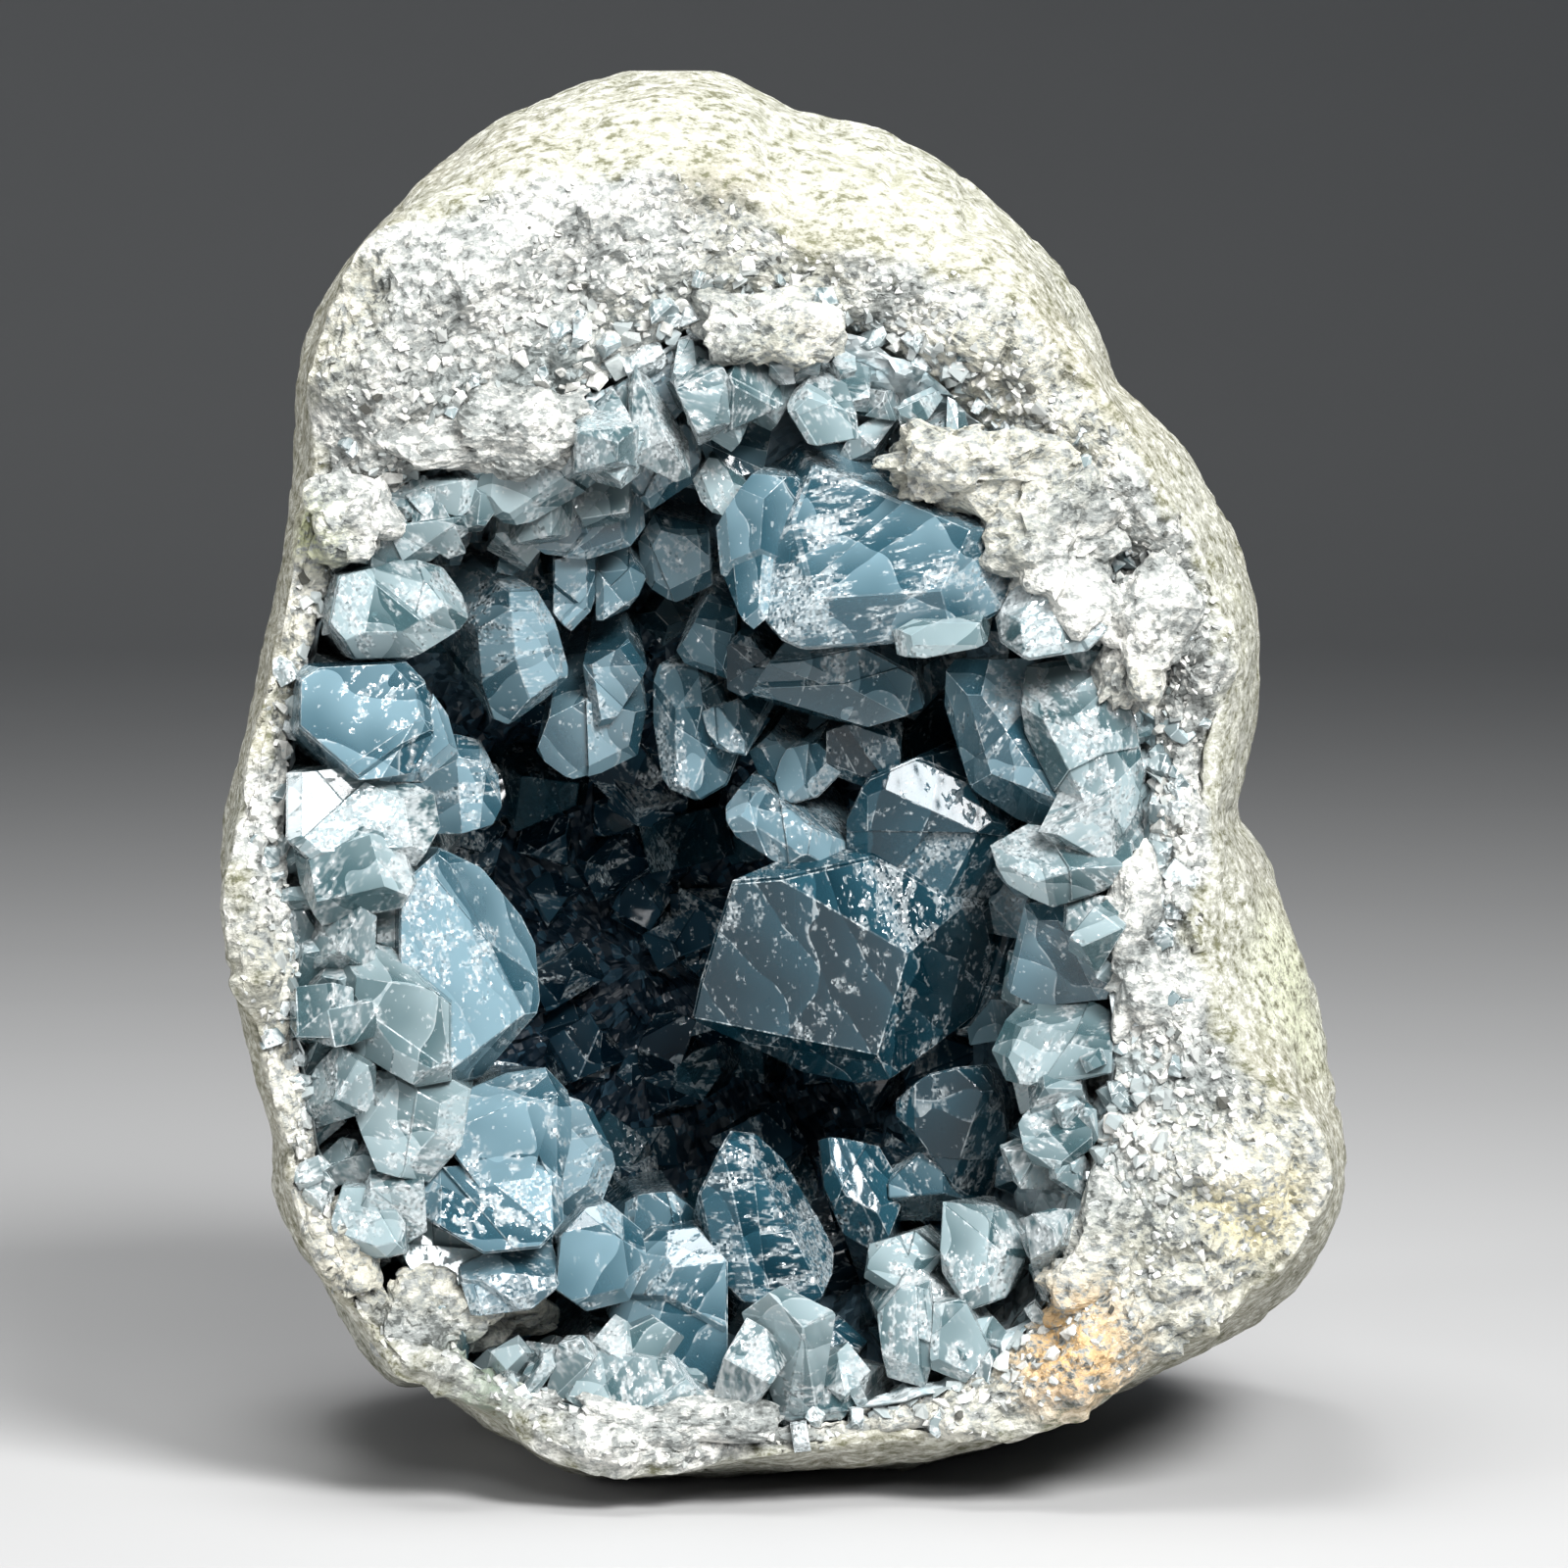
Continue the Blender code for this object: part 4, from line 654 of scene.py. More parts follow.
class Heap:
    """Many small solids gathered into one mesh, each face with numbers that the material reads."""

    # tone and cloud belong to each crystal; edge marks the bevelled faces, which get a painted highlight, and
    # facet is a random number for each face, which also paints its reflection.
    titles = ("tone", "cloud", "edge", "facet")

    def __init__(self, seed):
        self.points, self.faces, self.numbers = [], [], []
        self.chance = random.Random(seed)

    def add(self, points, faces, tone, cloud, edges=()):
        """Adds points and faces, with their crystal's numbers."""
        start = len(self.points)
        self.points.extend(points)
        for index, face in enumerate(faces):
            self.faces.append([start + corner for corner in face])
            self.numbers.append((tone, cloud, float(index in edges), self.chance.random()))

    def add_solid(self, bm, tone, cloud, edge_faces=()):
        """Adds a solid and lets go of it."""
        bm.verts.index_update()
        bm.faces.index_update()
        edges = {face.index for face in edge_faces}
        faces = [[vert.index for vert in face.verts] for face in bm.faces]
        self.add([vert.co.copy() for vert in bm.verts], faces, tone, cloud, edges)
        bm.free()

    def build(self, name):
        """Makes the piece."""
        columns = dict(zip(self.titles, zip(*self.numbers)))
        return new_object(name, [in_box(point) for point in self.points], self.faces, **columns)


class Socket:
    """A node's output in an expression: an operator adds the Math or Vector Math node that works it out."""

    def __init__(self, recipe, socket):
        self.recipe = recipe
        self.socket = socket

    def sum_with(self, operation, first, second):
        """Works out one Math node."""
        return self.recipe.node("ShaderNodeMath", {"operation": operation}, first, second)

    def __add__(self, other):
        if self.socket.type == "VECTOR":
            return self.recipe.node("ShaderNodeVectorMath", {"operation": "ADD"}, self, other)
        return self.sum_with("ADD", self, other)

    __radd__ = __add__

    def __sub__(self, other):
        return self.sum_with("SUBTRACT", self, other)

    def __rsub__(self, other):
        return self.sum_with("SUBTRACT", other, self)

    def __mul__(self, other):
        if self.socket.type == "VECTOR":
            if isinstance(other, (tuple, Vector)):
                return self.recipe.node("ShaderNodeVectorMath", {"operation": "MULTIPLY"}, self, tuple(other))
            return self.recipe.node("ShaderNodeVectorMath", {"operation": "SCALE"}, self, Scale=other)
        return self.sum_with("MULTIPLY", self, other)

    __rmul__ = __mul__

    def __truediv__(self, other):
        return self.sum_with("DIVIDE", self, other)

    def larger(self, other):
        """The larger of two numbers."""
        return self.sum_with("MAXIMUM", self, other)

    def within_one(self):
        """The part after the point: it climbs from 0 to 1 over and over."""
        return self.sum_with("FRACT", self, None)

    def rise(self, low, high):
        """0 below low, 1 above high, and a smooth rise between."""
        settings = {"interpolation_type": "SMOOTHSTEP"}
        return self.recipe.node("ShaderNodeMapRange", settings, self, low, high)

    def fall(self, low, high):
        """1 below low, 0 above high, and a smooth fall between."""
        return 1.0 - self.rise(low, high)


class Recipe:
    """A material while it is being made."""

    def __init__(self, name):
        self.material = bpy.data.materials.new(name)
        self.material.use_nodes = True
        self.tree = self.material.node_tree
        self.tree.nodes.clear()
        self.output = self.tree.nodes.new("ShaderNodeOutputMaterial")

    def node(self, kind, settings=None, *values, pick=0, **named):
        """Adds a node with its settings, then its sockets' values or links, and gives one of its outputs."""
        item = self.tree.nodes.new(kind)
        for title, setting in (settings or {}).items():
            setattr(item, title, setting)
        for key, value in list(enumerate(values)) + [(k.replace("_", " "), v) for k, v in named.items()]:
            if isinstance(value, Socket):
                self.tree.links.new(value.socket, item.inputs[key])
            elif value is not None:
                item.inputs[key].default_value = value
        return Socket(self, item.outputs[pick]) if item.outputs else None

    def spot(self, stretch=(1.0, 1.0, 1.0)):
        """The place on the surface in millimetres."""
        place_on = self.node("ShaderNodeTexCoord", pick="Object")
        return place_on * tuple(part / MM for part in stretch)

    def number(self, title):
        """A number that the piece holds for each of its faces or points."""
        return self.node("ShaderNodeAttribute", {"attribute_name": title}, pick="Fac")

    def noise(self, spot, span, detail=2.0, roughness=0.5):
        """A soft random number, about 0.5, that varies over a span in millimetres."""
        values = {"Scale": 1.0 / span, "Detail": detail, "Roughness": roughness}
        return self.node("ShaderNodeTexNoise", None, spot, **values)

    def turned(self, spot, angle):
        """A place turned about a slanting axis, so that each crystal has its own directions."""
        settings = {"rotation_type": "AXIS_ANGLE"}
        return self.node("ShaderNodeVectorRotate", settings, spot, Axis=SLANT, Angle=angle)

    def grains(self, spot, span):
        """A random colour for each small grain of a surface."""
        cell = self.node("ShaderNodeVectorMath", {"operation": "FLOOR"}, spot * (1.0 / span))
        return self.node("ShaderNodeTexWhiteNoise", {"noise_dimensions": "3D"}, cell, pick="Color")

    def layers(self, spot, direction, span, shift):
        """A number that climbs from 0 to 1 across each of a crystal's parallel layers."""
        along = self.node("ShaderNodeVectorMath", {"operation": "DOT_PRODUCT"}, spot, direction, pick="Value")
        return (along / span + shift).within_one()

    def part(self, colour):
        """One number out of a colour."""
        return self.node("ShaderNodeSeparateColor", None, colour)

    def mix(self, share, first, second):
        """A colour between two others, each a Socket or a colour."""
        item = self.tree.nodes.new("ShaderNodeMix")
        item.data_type = "RGBA"
        for key, value in (("Factor_Float", share), ("A_Color", first), ("B_Color", second)):
            into = next(s for s in item.inputs if s.identifier == key)
            if isinstance(value, Socket):
                self.tree.links.new(value.socket, into)
            else:
                into.default_value = value if key == "Factor_Float" else (*value, 1.0)
        return Socket(self, next(s for s in item.outputs if s.identifier == "Result_Color"))

    def tilted(self, normal, colours, amount):
        """A normal turned a little in each small cell of colour, as on a surface of sugary grains."""
        centred = self.node("ShaderNodeVectorMath", {"operation": "SUBTRACT"}, colours, (0.5, 0.5, 0.5))
        scaled = self.node("ShaderNodeVectorMath", {"operation": "SCALE"}, centred, Scale=amount)
        turned = self.node("ShaderNodeVectorMath", {"operation": "ADD"}, normal, scaled)
        return self.node("ShaderNodeVectorMath", {"operation": "NORMALIZE"}, turned)

    def bump(self, height, distance, strength=1.0):
        """The surface's normal over a height, which distance, in millimetres, gives its size."""
        return self.node("ShaderNodeBump", None, Height=height, Distance=distance * MM, Strength=strength)

    def near(self, spot, right, up, depth, width):
        """1 at a place on the stone, falling to 0 at a width from it in millimetres."""
        middle = place(right, up, depth) / MM
        away = self.node("ShaderNodeVectorMath", {"operation": "DISTANCE"}, spot, tuple(middle), pick="Value")
        return away.fall(0.2 * width, width)

    def finish(self, colour, roughness, normal, density=0.0, tint=(1.0, 1.0, 1.0), **constants):
        """Ends the material in one shader, with its numbers that are the same all over."""
        surface = self.node("ShaderNodeBsdfPrincipled", None, Base_Color=colour, Roughness=roughness,
                            Normal=normal, **constants)
        self.tree.links.new(surface.socket, self.output.inputs["Surface"])
        if density:
            inside = self.node("ShaderNodeVolumeAbsorption", None, (*tint, 1.0), density)
            self.tree.links.new(inside.socket, self.output.inputs["Volume"])
        return self.material


# The axis about which the patterns of each crystal and grain are turned.
SLANT = (0.50, 0.62, 0.60)

# Colours of the rock: the rind's warm, dark, pale and olive parts, then the broken face's specks, its grey,
# its cream and its wet grey near the mouth.
RIND_WARM = (0.335, 0.325, 0.262)
RIND_DARK = (0.13, 0.13, 0.075)
RIND_PALE = (0.60, 0.60, 0.53)
RIND_OLIVE = (0.22, 0.22, 0.14)
FACE_SPECK = (0.07, 0.075, 0.07)
FACE_GREY = (0.25, 0.265, 0.255)
FACE_CREAM = (0.46, 0.43, 0.30)
FACE_WET = (0.28, 0.33, 0.33)

# Stains of the rock, each as (right, up), depth, width, colour and strength.
STAINS = [
    ((31.0, 14.5), -40, 10.0, (0.62, 0.36, 0.12), 0.85),
    ((49.0, 31.0), -38, 9.0, (0.68, 0.58, 0.28), 0.7),
    ((-32.5, 11.0), -38, 7.0, (0.10, 0.16, 0.10), 0.8),
    ((-49.0, 102.0), -36, 6.0, (0.36, 0.40, 0.16), 0.7),
    ((-46.0, 25.0), -38, 7.0, (0.50, 0.46, 0.36), 0.6),
    ((52.0, 52.0), -22, 14.0, (0.62, 0.66, 0.44), 0.6),
    ((-8.0, 138.0), -36, 7.0, (0.30, 0.27, 0.20), 0.5),
]


def stone_material(settings):
    """Pale rock: a speckled greenish cream rind, and a sugary white broken face mottled with grey."""
    r = Recipe("pale_rock")
    spot = r.spot()
    patch = r.noise(spot, 8.0, 3.0, 0.62)
    grit = r.noise(r.spot((0.75, 1.0, 1.2)), 1.3, 3.0, 0.75)
    past = r.number("past")
    broken = (past + (patch - 0.5) * 10.0).rise(-1.0, 1.5)

    speckle = grit * 0.8 + patch * 0.2
    weather = r.noise(spot, 34.0, 2.0)
    rind = r.mix(weather.rise(0.42, 0.62), settings.rind_colour, RIND_WARM)
    rind = r.mix(speckle.rise(0.36, 0.50), RIND_DARK, rind)
    rind = r.mix(speckle.rise(0.50, 0.60), rind, RIND_PALE)
    rind = r.mix(patch.rise(0.56, 0.70) * 0.5, rind, RIND_OLIVE)

    grains = r.grains(r.turned(spot, 0.7) + grit * 1.3, 0.55)
    grain = r.part(grains)
    mottle = grit * 0.55 + patch * 0.45 + grain * 0.06
    face = r.mix(mottle.rise(0.39, 0.49), FACE_SPECK, FACE_GREY)
    face = r.mix(mottle.rise(0.49, 0.64), face, settings.broken_colour)
    face = r.mix(weather.rise(0.50, 0.62) * grit.rise(0.40, 0.55) * 0.4, face, FACE_CREAM)
    face = r.mix(past.rise(8.0, 24.0) * patch.fall(0.42, 0.54) * 0.5, face, FACE_WET)

    colour = r.mix(broken, rind, face)
    for (right, up), depth, width, tint, strength in STAINS:
        near = r.near(spot, right, up, depth, width)
        colour = r.mix(near * grit.rise(0.38, 0.58) * strength, colour, tint)

    roughness = 0.82 - broken * grain.rise(0.6, 0.9) * 0.5
    normal = r.tilted(r.bump(grit, settings.grain_height, 1.0), grains, broken * 0.50 + 0.20)
    return r.finish(colour, roughness, normal)


# The looks of the crystals: their dark, light and pale colours, where their veils begin, how strong their
# dust is, the tint and density of their inside, how much light they let through and how strongly they shine.
# The deep and druse looks are darker copies of the same blue: painted shade for crystals set far into the
# hollow.
LOOKS = {
    "deep": {
        "dark": (0.004, 0.032, 0.050), "light": (0.034, 0.125, 0.175), "pale": (0.20, 0.36, 0.41),
        "veil": 0.74, "dust": 0.25, "tint": (0.20, 0.62, 0.80), "density": 60.0, "transmission": 0.50,
        "shine": 0.25},
    "slate": {
        "dark": (0.034, 0.108, 0.148), "light": (0.320, 0.505, 0.590), "pale": (0.76, 0.88, 0.92),
        "veil": 0.62, "dust": 0.45, "tint": (0.38, 0.76, 0.88), "density": 38.0, "transmission": 0.50,
        "shine": 0.5},
    "ice": {
        "dark": (0.075, 0.155, 0.175), "light": (0.560, 0.715, 0.750), "pale": (0.93, 0.98, 0.98),
        "veil": 0.56, "dust": 0.45, "tint": (0.62, 0.86, 0.91), "density": 22.0, "transmission": 0.52,
        "shine": 0.5},
    "shaded_druse": {
        "dark": (0.003, 0.014, 0.026), "light": (0.035, 0.095, 0.140), "pale": (0.16, 0.26, 0.31),
        "veil": 0.66, "dust": 0.45, "tint": (1.0, 1.0, 1.0), "density": 0.0, "transmission": 0.0,
        "shine": 0.5},
    "mouth": {
        "dark": (0.08, 0.12, 0.13), "light": (0.34, 0.41, 0.42), "pale": (0.60, 0.64, 0.64),
        "veil": 0.54, "dust": 0.45, "tint": (1.0, 1.0, 1.0), "density": 0.0, "transmission": 0.0,
        "shine": 0.5},
}
# A pale colour for veins, etched flakes and dust, and for the painted highlight along bevelled edges.
PALE_FLAW_AND_HIGHLIGHT = (0.90, 0.98, 1.0)
CELESTITE_IOR = 1.62

# White etched and frosted places of the crystals, as (right, up), depth and width.
FROST = [((3.0, 103.0), -40, 5.0), ((1.0, 93.0), -41, 6.5)]


def crystal_material(name, look):
    """Celestite: flat shining faces over a clear inside, with fractures and milky veils; each face's colour is
    raised or lowered at random as a painted reflection, and the bevelled edges are pale, a painted highlight.
    """
    r = Recipe(name)
    spot = r.spot()
    tone, cloud, edge, facet = (r.number(title) for title in Heap.titles)
    own = r.turned(spot, tone * 19.0)
    drift = r.noise(spot, 7.0, 1.0)
    wisps = r.noise(own * (0.5, 1.0, 1.7), 1.9, 2.0, 0.8)
    first = r.layers(own, (0.80, 0.20, 0.56), 7.0, drift * 0.8)
    second = r.layers(own, (-0.45, 0.30, 0.84), 5.0, drift * 0.8)
    flakes = r.grains(own + wisps * 0.9, 0.30)
    flake = r.part(flakes)

    frost = 0.0
    for (right, up), depth, width in FROST:
        frost = r.near(spot, right, up, depth, width) + frost
    # The colour steps from dark to light with the crystal's own tone and growth layers, and with a random
    # number for each face: a painted reflection, each flat face lit a little differently.
    bands_and_facet_light = (tone * 0.15 + facet * 0.40 + first * 0.25 + second * 0.2).rise(0.22, 0.78)
    haze = wisps * 0.6 + drift * 0.3 + cloud * 0.14 + frost * 0.12
    veil = haze.rise(look["veil"] - 0.05, look["veil"] + 0.09)
    veins = first.larger(second).rise(0.955, 0.995) * wisps.rise(0.47, 0.56)
    etched = (wisps * 0.6 + drift * 0.4 + facet * 0.14 + cloud * 0.10 + frost * 0.2).rise(0.61, 0.69)
    dust = (flake + wisps * 0.8).rise(1.39, 1.43)
    # The bevelled edges are painted pale in patches: a painted highlight.
    rim = edge * (0.06 + wisps.rise(0.46, 0.60) * 0.6)

    body = r.mix(bands_and_facet_light, look["dark"], look["light"])
    body = r.mix(veil * 0.65, body, look["pale"])
    body = r.mix((veins * 0.5).larger(etched * flake * 0.7), body, PALE_FLAW_AND_HIGHLIGHT)
    colour = r.mix((dust * look["dust"]).larger(rim), body, PALE_FLAW_AND_HIGHLIGHT)

    roughness = 0.03 + veil * 0.10 + etched * 0.08 + edge * 0.12 + facet * 0.05
    waves = r.noise(own * (0.5, 1.0, 1.4), 1.7, 0.0)
    normal = r.tilted(r.bump(waves, 0.05, 0.5), flakes, etched * 0.9 + edge * 0.4)
    return r.finish(colour, roughness, normal, look["density"], look["tint"], IOR=CELESTITE_IOR,
                    Transmission_Weight=look["transmission"], Specular_IOR_Level=look["shine"])


def bed_material():
    """The crust under the crystals: grainy and pale at the mouth, and near black where the hollow is deepest, a
    painted shade.
    """
    r = Recipe("crust_bed")
    spot = r.spot()
    deep = r.number("deep")
    sugar = r.noise(spot, 3.0, 3.0, 0.6)
    grains = r.grains(r.turned(spot, 0.7) + sugar * 2.0, 1.0)
    grain = r.part(grains)
    # The colour darkens with how far into the hollow the bed lies: painted shade, near black at the bottom.
    depth = deep + (sugar - 0.5) * 0.3
    near = r.mix(sugar.rise(0.4, 0.6), (0.30, 0.40, 0.43), (0.66, 0.72, 0.73))
    middle = r.mix(grain, (0.06, 0.13, 0.18), (0.22, 0.34, 0.42))
    far_shade = r.mix(grain.rise(0.7, 0.95), (0.006, 0.020, 0.036), (0.05, 0.11, 0.16))
    colour = r.mix(depth.rise(0.35, 0.60), r.mix(depth.rise(0.08, 0.30), near, middle), far_shade)
    roughness = 0.42 - grain.rise(0.6, 0.9) * 0.3
    normal = r.tilted(r.bump(sugar, 0.4, 0.6), grains, 0.8)
    return r.finish(colour, roughness, normal)


def floor_material(settings):
    """Plain pale board, a little uneven in colour."""
    r = Recipe("studio_floor")
    pale = tuple(settings.floor_colour)
    colour = r.mix(r.noise(r.spot(), 60.0, 1.0), tuple(part * 0.97 for part in pale), pale)
    return r.finish(colour, 0.62, None)


def make_stone(settings):
    """The whole stone, one closed mesh from its back over its rind and its broken face into its hollow."""
    sections = [stone_section(math.tau * column / COLUMNS) for column in range(COLUMNS)]
    rows = len(sections[0])
    points, reliefs, past = [], [], []
    for column, section in enumerate(sections):
        angle = math.tau * column / COLUMNS
        for radius, depth, middle, relief, beyond in section:
            points.append(place(*ring_point(angle, radius, depth, middle)))
            reliefs.append(relief)
            past.append(beyond)
    points += [place(*STONE_MIDDLE, BACK_DEPTH), place(*HOLLOW_MIDDLE, HOLLOW_DEPTH)]
    reliefs += [RIND_RELIEF, HOLLOW_RELIEF]
    past += [past[0], past[rows - 1]]
    piece = new_object("stone", points, grid_faces(COLUMNS, rows), sort="POINT", past=past)
    mesh = piece.data
    for vert, relief, beyond in zip(mesh.vertices, reliefs, past):
        start = points[vert.index]
        spot = start / MM
        height = rock_lift(spot, relief)
        broken = smooth_step(beyond + noise.noise(spot / WAVE_SPAN) * EDGE_WANDER, *CRUMBS_BEGIN)
        if broken and vert.index % rows < rows - HOLLOW_ROWS + CRUMBS_REACH:
            height += broken * settings.crumb_height / MM * crumb_lift(spot)
            height -= pit_depth(*seen(start)[:2])
        points[vert.index] = in_box(start + vert.normal * height * MM)
    for vert, spot in zip(mesh.vertices, points):
        vert.co = spot
    smooth = [past[face.vertices[0]] < SMOOTH_UP_TO for face in mesh.polygons]
    mesh.polygons.foreach_set("use_smooth", smooth)
    mesh.update()
    return finish_piece(piece, "stone_shell", stone_material(settings))


def inside_hollow(right, up, depth, spare=0.0):
    """Whether a point of the front view lies within the hollow's wall, found along the wall's own rings."""
    angle = math.atan2(up - STONE_MIDDLE[1], right - STONE_MIDDLE[0])
    for step in range(1, WALL_STEPS + 1):
        share = step / WALL_STEPS
        ring_depth, middle = hollow_ring(angle, share)[1:]
        if ring_depth >= depth:
            across, above = right - middle[0], up - middle[1]
            return math.hypot(across, above) < hollow_ring(math.atan2(above, across), share)[0] + spare
    return False


def root_length(spot, direction):
    """How far a root runs from a point until it is set in the wall of the hollow."""
    length = ROOT_STEP
    while length < ROOT_LIMIT and inside_hollow(*(a + b * length for a, b in zip(spot, direction))):
        length += ROOT_STEP
    return length + BITE


def drawn_in(spot, towards, spare):
    """A point moved towards another until the wall holds it."""
    for step in range(DRAW_STEPS + 1):
        moved = spot.lerp(towards, step / DRAW_STEPS)
        if inside_hollow(*seen(moved), spare):
            return moved
    return towards


def slice_off(bm, point, normal):
    """Cuts away what lies beyond a plane and closes the cut with one flat face."""
    parts = bm.verts[:] + bm.edges[:] + bm.faces[:]
    cut = bmesh.ops.bisect_plane(bm, geom=parts, plane_co=point, plane_no=normal, dist=1e-7, clear_outer=True)
    rim = [item for item in cut["geom_cut"] if isinstance(item, bmesh.types.BMEdge)]
    if rim:
        bmesh.ops.edgeloop_fill(bm, edges=rim)


def hull_of(spots):
    """The smallest solid with flat faces around some points."""
    bm = bmesh.new()
    hull = bmesh.ops.convex_hull(bm, input=[bm.verts.new(spot) for spot in spots])
    inner = [item for item in hull["geom_interior"] if isinstance(item, bmesh.types.BMVert)]
    bmesh.ops.delete(bm, geom=inner)
    bmesh.ops.dissolve_limit(bm, angle_limit=FLATNESS, verts=bm.verts, edges=bm.edges)
    return bm


def soften_edges(bm, width):
    """Rounds the edges a little and gives the faces that this makes."""
    bmesh.ops.recalc_face_normals(bm, faces=bm.faces)
    edges = [edge for edge in bm.edges if len(edge.link_faces) == 2]
    made = bmesh.ops.bevel(bm, geom=edges, offset=width, offset_type="OFFSET", segments=1, profile=0.5,
                           affect="EDGES", clamp_overlap=True)
    return made["faces"]


def swayed(rng, amount):
    """A random vector, up to an amount along each axis."""
    return Vector([rng.uniform(-amount, amount) for axis in range(3)])


def front_corners(depth, slope, outline):
    """The corners of a crystal's front face, on one sloping plane, and the plane's middle and normal."""
    middle = [sum(point[axis] for point in outline) / len(outline) for axis in (0, 1)]
    heart = place(*middle, depth)
    front = []
    for right, up in outline:
        corner = place(right, up, depth)
        corner.y = heart.y + (corner.x - heart.x) * slope[0] + (corner.z - heart.z) * slope[1]
        front.append(corner)
    return front, heart, middle, Vector((slope[0], -1.0, slope[1])).normalized()


def bevel_cuts(front, heart, facing, size, rng):
    """The planes that bevel some edges of a crystal's front, each as a point and an outward normal."""
    cuts = []
    for here, there in zip(front, front[1:] + front[:1]):
        outward = (there - here).cross(facing).normalized()
        if outward.dot(here - heart) < 0:
            outward.negate()
        width = rng.uniform(*BEVEL_WIDTH) * size
        steepness = math.radians(rng.uniform(*BEVEL_STEEPNESS))
        if rng.random() < BEVEL_SHARE:
            normal = facing * math.cos(steepness) + outward * math.sin(steepness)
            cuts.append(((here + there) / 2 - outward * width, normal))
    return cuts


def chip_corners(bm, corners, heart, facing, rng):
    """Breaks small flat chips off a few corners."""
    for chip in range(rng.randint(*CHIP_COUNT)):
        corner = rng.choice(corners)
        outward = (corner - heart).normalized() + facing * rng.uniform(*CHIP_LEAN)
        outward = (outward + swayed(rng, CHIP_SWAY)).normalized()
        slice_off(bm, corner - outward * rng.uniform(*CHIP_DEPTH) * MM, outward)


def make_crystal(heap, shape, rng, extra):
    """A crystal from its outline: a flat sloping front face, bevelled edges and a root into the crust."""
    look, cloud, depth, slope, root, outline = shape
    front, heart, middle, facing = front_corners(depth, slope, outline)
    direction = Vector(root).normalized()
    length = root_length((*middle, depth), (direction.x, direction.z, direction.y)) * MM
    size = max((a - b).length for a in front for b in front)
    cuts = bevel_cuts(front, heart, facing, size, rng)
    anchor = heart + direction * length * ROOT_ANCHOR
    corners = [drawn_in(spot, heart, FRONT_SPARE) for spot in front]
    bm = hull_of(corners + [drawn_in(spot + direction * length, anchor, ROOT_SPARE) for spot in front])
    for point, normal in cuts:
        slice_off(bm, point, normal)
    chip_corners(bm, corners, heart, facing, extra)
    tone = extra.random()
    if size > STEP_SIZE * MM:
        for number in range(extra.randint(*STEP_COUNT)):
            make_step(heap, bm, heart, facing, size, tone, cloud, extra)
    width = max(EDGE_LEAST * MM, size * EDGE_SHARE * extra.uniform(*EDGE_RANGE))
    heap.add_solid(bm, tone, cloud, soften_edges(bm, width))


def make_step(heap, body, heart, facing, size, tone, cloud, rng):
    """A growth step: part of the crystal's front, cut by a slanting side and standing a little forward."""
    bm = body.copy()
    across = facing.cross(swayed(rng, 1.0)).normalized()
    lean = rng.uniform(*STEP_LEAN)
    slice_off(bm, heart + across * size * rng.uniform(*STEP_SHIFT), (across + facing * lean).normalized())
    slice_off(bm, heart - facing * size * STEP_BACK, -facing)
    rise = facing * rng.uniform(*STEP_RISE) * MM
    for vert in bm.verts:
        vert.co = heart.lerp(vert.co, STEP_SHRINK) + rise
    if len(bm.verts) > 4:
        hull = hull_of([vert.co.copy() for vert in bm.verts])
        heap.add_solid(hull, tone, cloud, soften_edges(hull, STEP_EDGE * MM))
    bm.free()


def make_small_crystal(heap, angle, share, size, rng, cloud):
    """A small crystal on the bed, blocky with a wedge-shaped end, that leans towards the open hollow."""
    radius, depth, middle = hollow_ring(angle, share, BED_EDGE)
    foot = place(*ring_point(angle, radius, depth, middle))
    inward, forward = SMALL_AIM
    open_side = place(*ring_point(angle, radius * inward, depth - forward, middle))
    out = (open_side - foot).normalized() + swayed(rng, SMALL_SWAY)
    turn = out.to_track_quat("Z", "X").to_matrix() @ Matrix.Rotation(rng.uniform(0.0, math.tau), 3, "Z")
    length = size * rng.uniform(*SMALL_LENGTH)
    thickness = size * rng.uniform(*SMALL_THICKNESS)
    bm = bmesh.new()
    bmesh.ops.create_cube(bm, size=1.0)
    bmesh.ops.scale(bm, vec=Vector((size, thickness, 2.0 * length)) * MM, verts=bm.verts)
    wedge = math.radians(rng.uniform(*SMALL_WEDGE))
    chisel = math.radians(rng.uniform(*SMALL_CHISEL))
    tip = Vector((0, 0, length * rng.uniform(*SMALL_TIP))) * MM
    for side in (-1, 1):
        slice_off(bm, tip, Vector((side * math.sin(wedge), 0, math.cos(wedge))))
    slice_off(bm, tip * SMALL_CHISEL_AT, Vector((0, math.sin(chisel), math.cos(chisel))))
    bmesh.ops.transform(bm, matrix=turn.to_4x4(), verts=bm.verts)
    bmesh.ops.translate(bm, vec=foot, verts=bm.verts)
    inner = foot + out.normalized() * length * SMALL_MIDDLE * MM
    hull = hull_of([drawn_in(vert.co, inner, SMALL_SPARE) for vert in bm.verts])
    bm.free()
    bmesh.ops.recalc_face_normals(hull, faces=hull.faces)
    edges = soften_edges(hull, size * SMALL_EDGE_SHARE * MM) if size > SMALL_EDGE_FROM else ()
    # Only crystals near the mouth keep the painted highlight on their edges.
    heap.add_solid(hull, rng.random(), cloud, edges if share < EDGE_HIGHLIGHT_REACH else ())


def small_look(angle, share):
    """The look of a small crystal: clear at the mouth, slate behind it, then dark as painted shade deep in the
    hollow; at the roof slate reaches farther in, as painted light on the top of the hollow.
    """
    if share < ICE_REACH:
        return "ice"
    slate_reach = LIT_ROOF_SLATE_REACH if math.sin(angle) > ROOF_FROM else SLATE_REACH
    return "slate" if share < slate_reach else "shaded_druse"


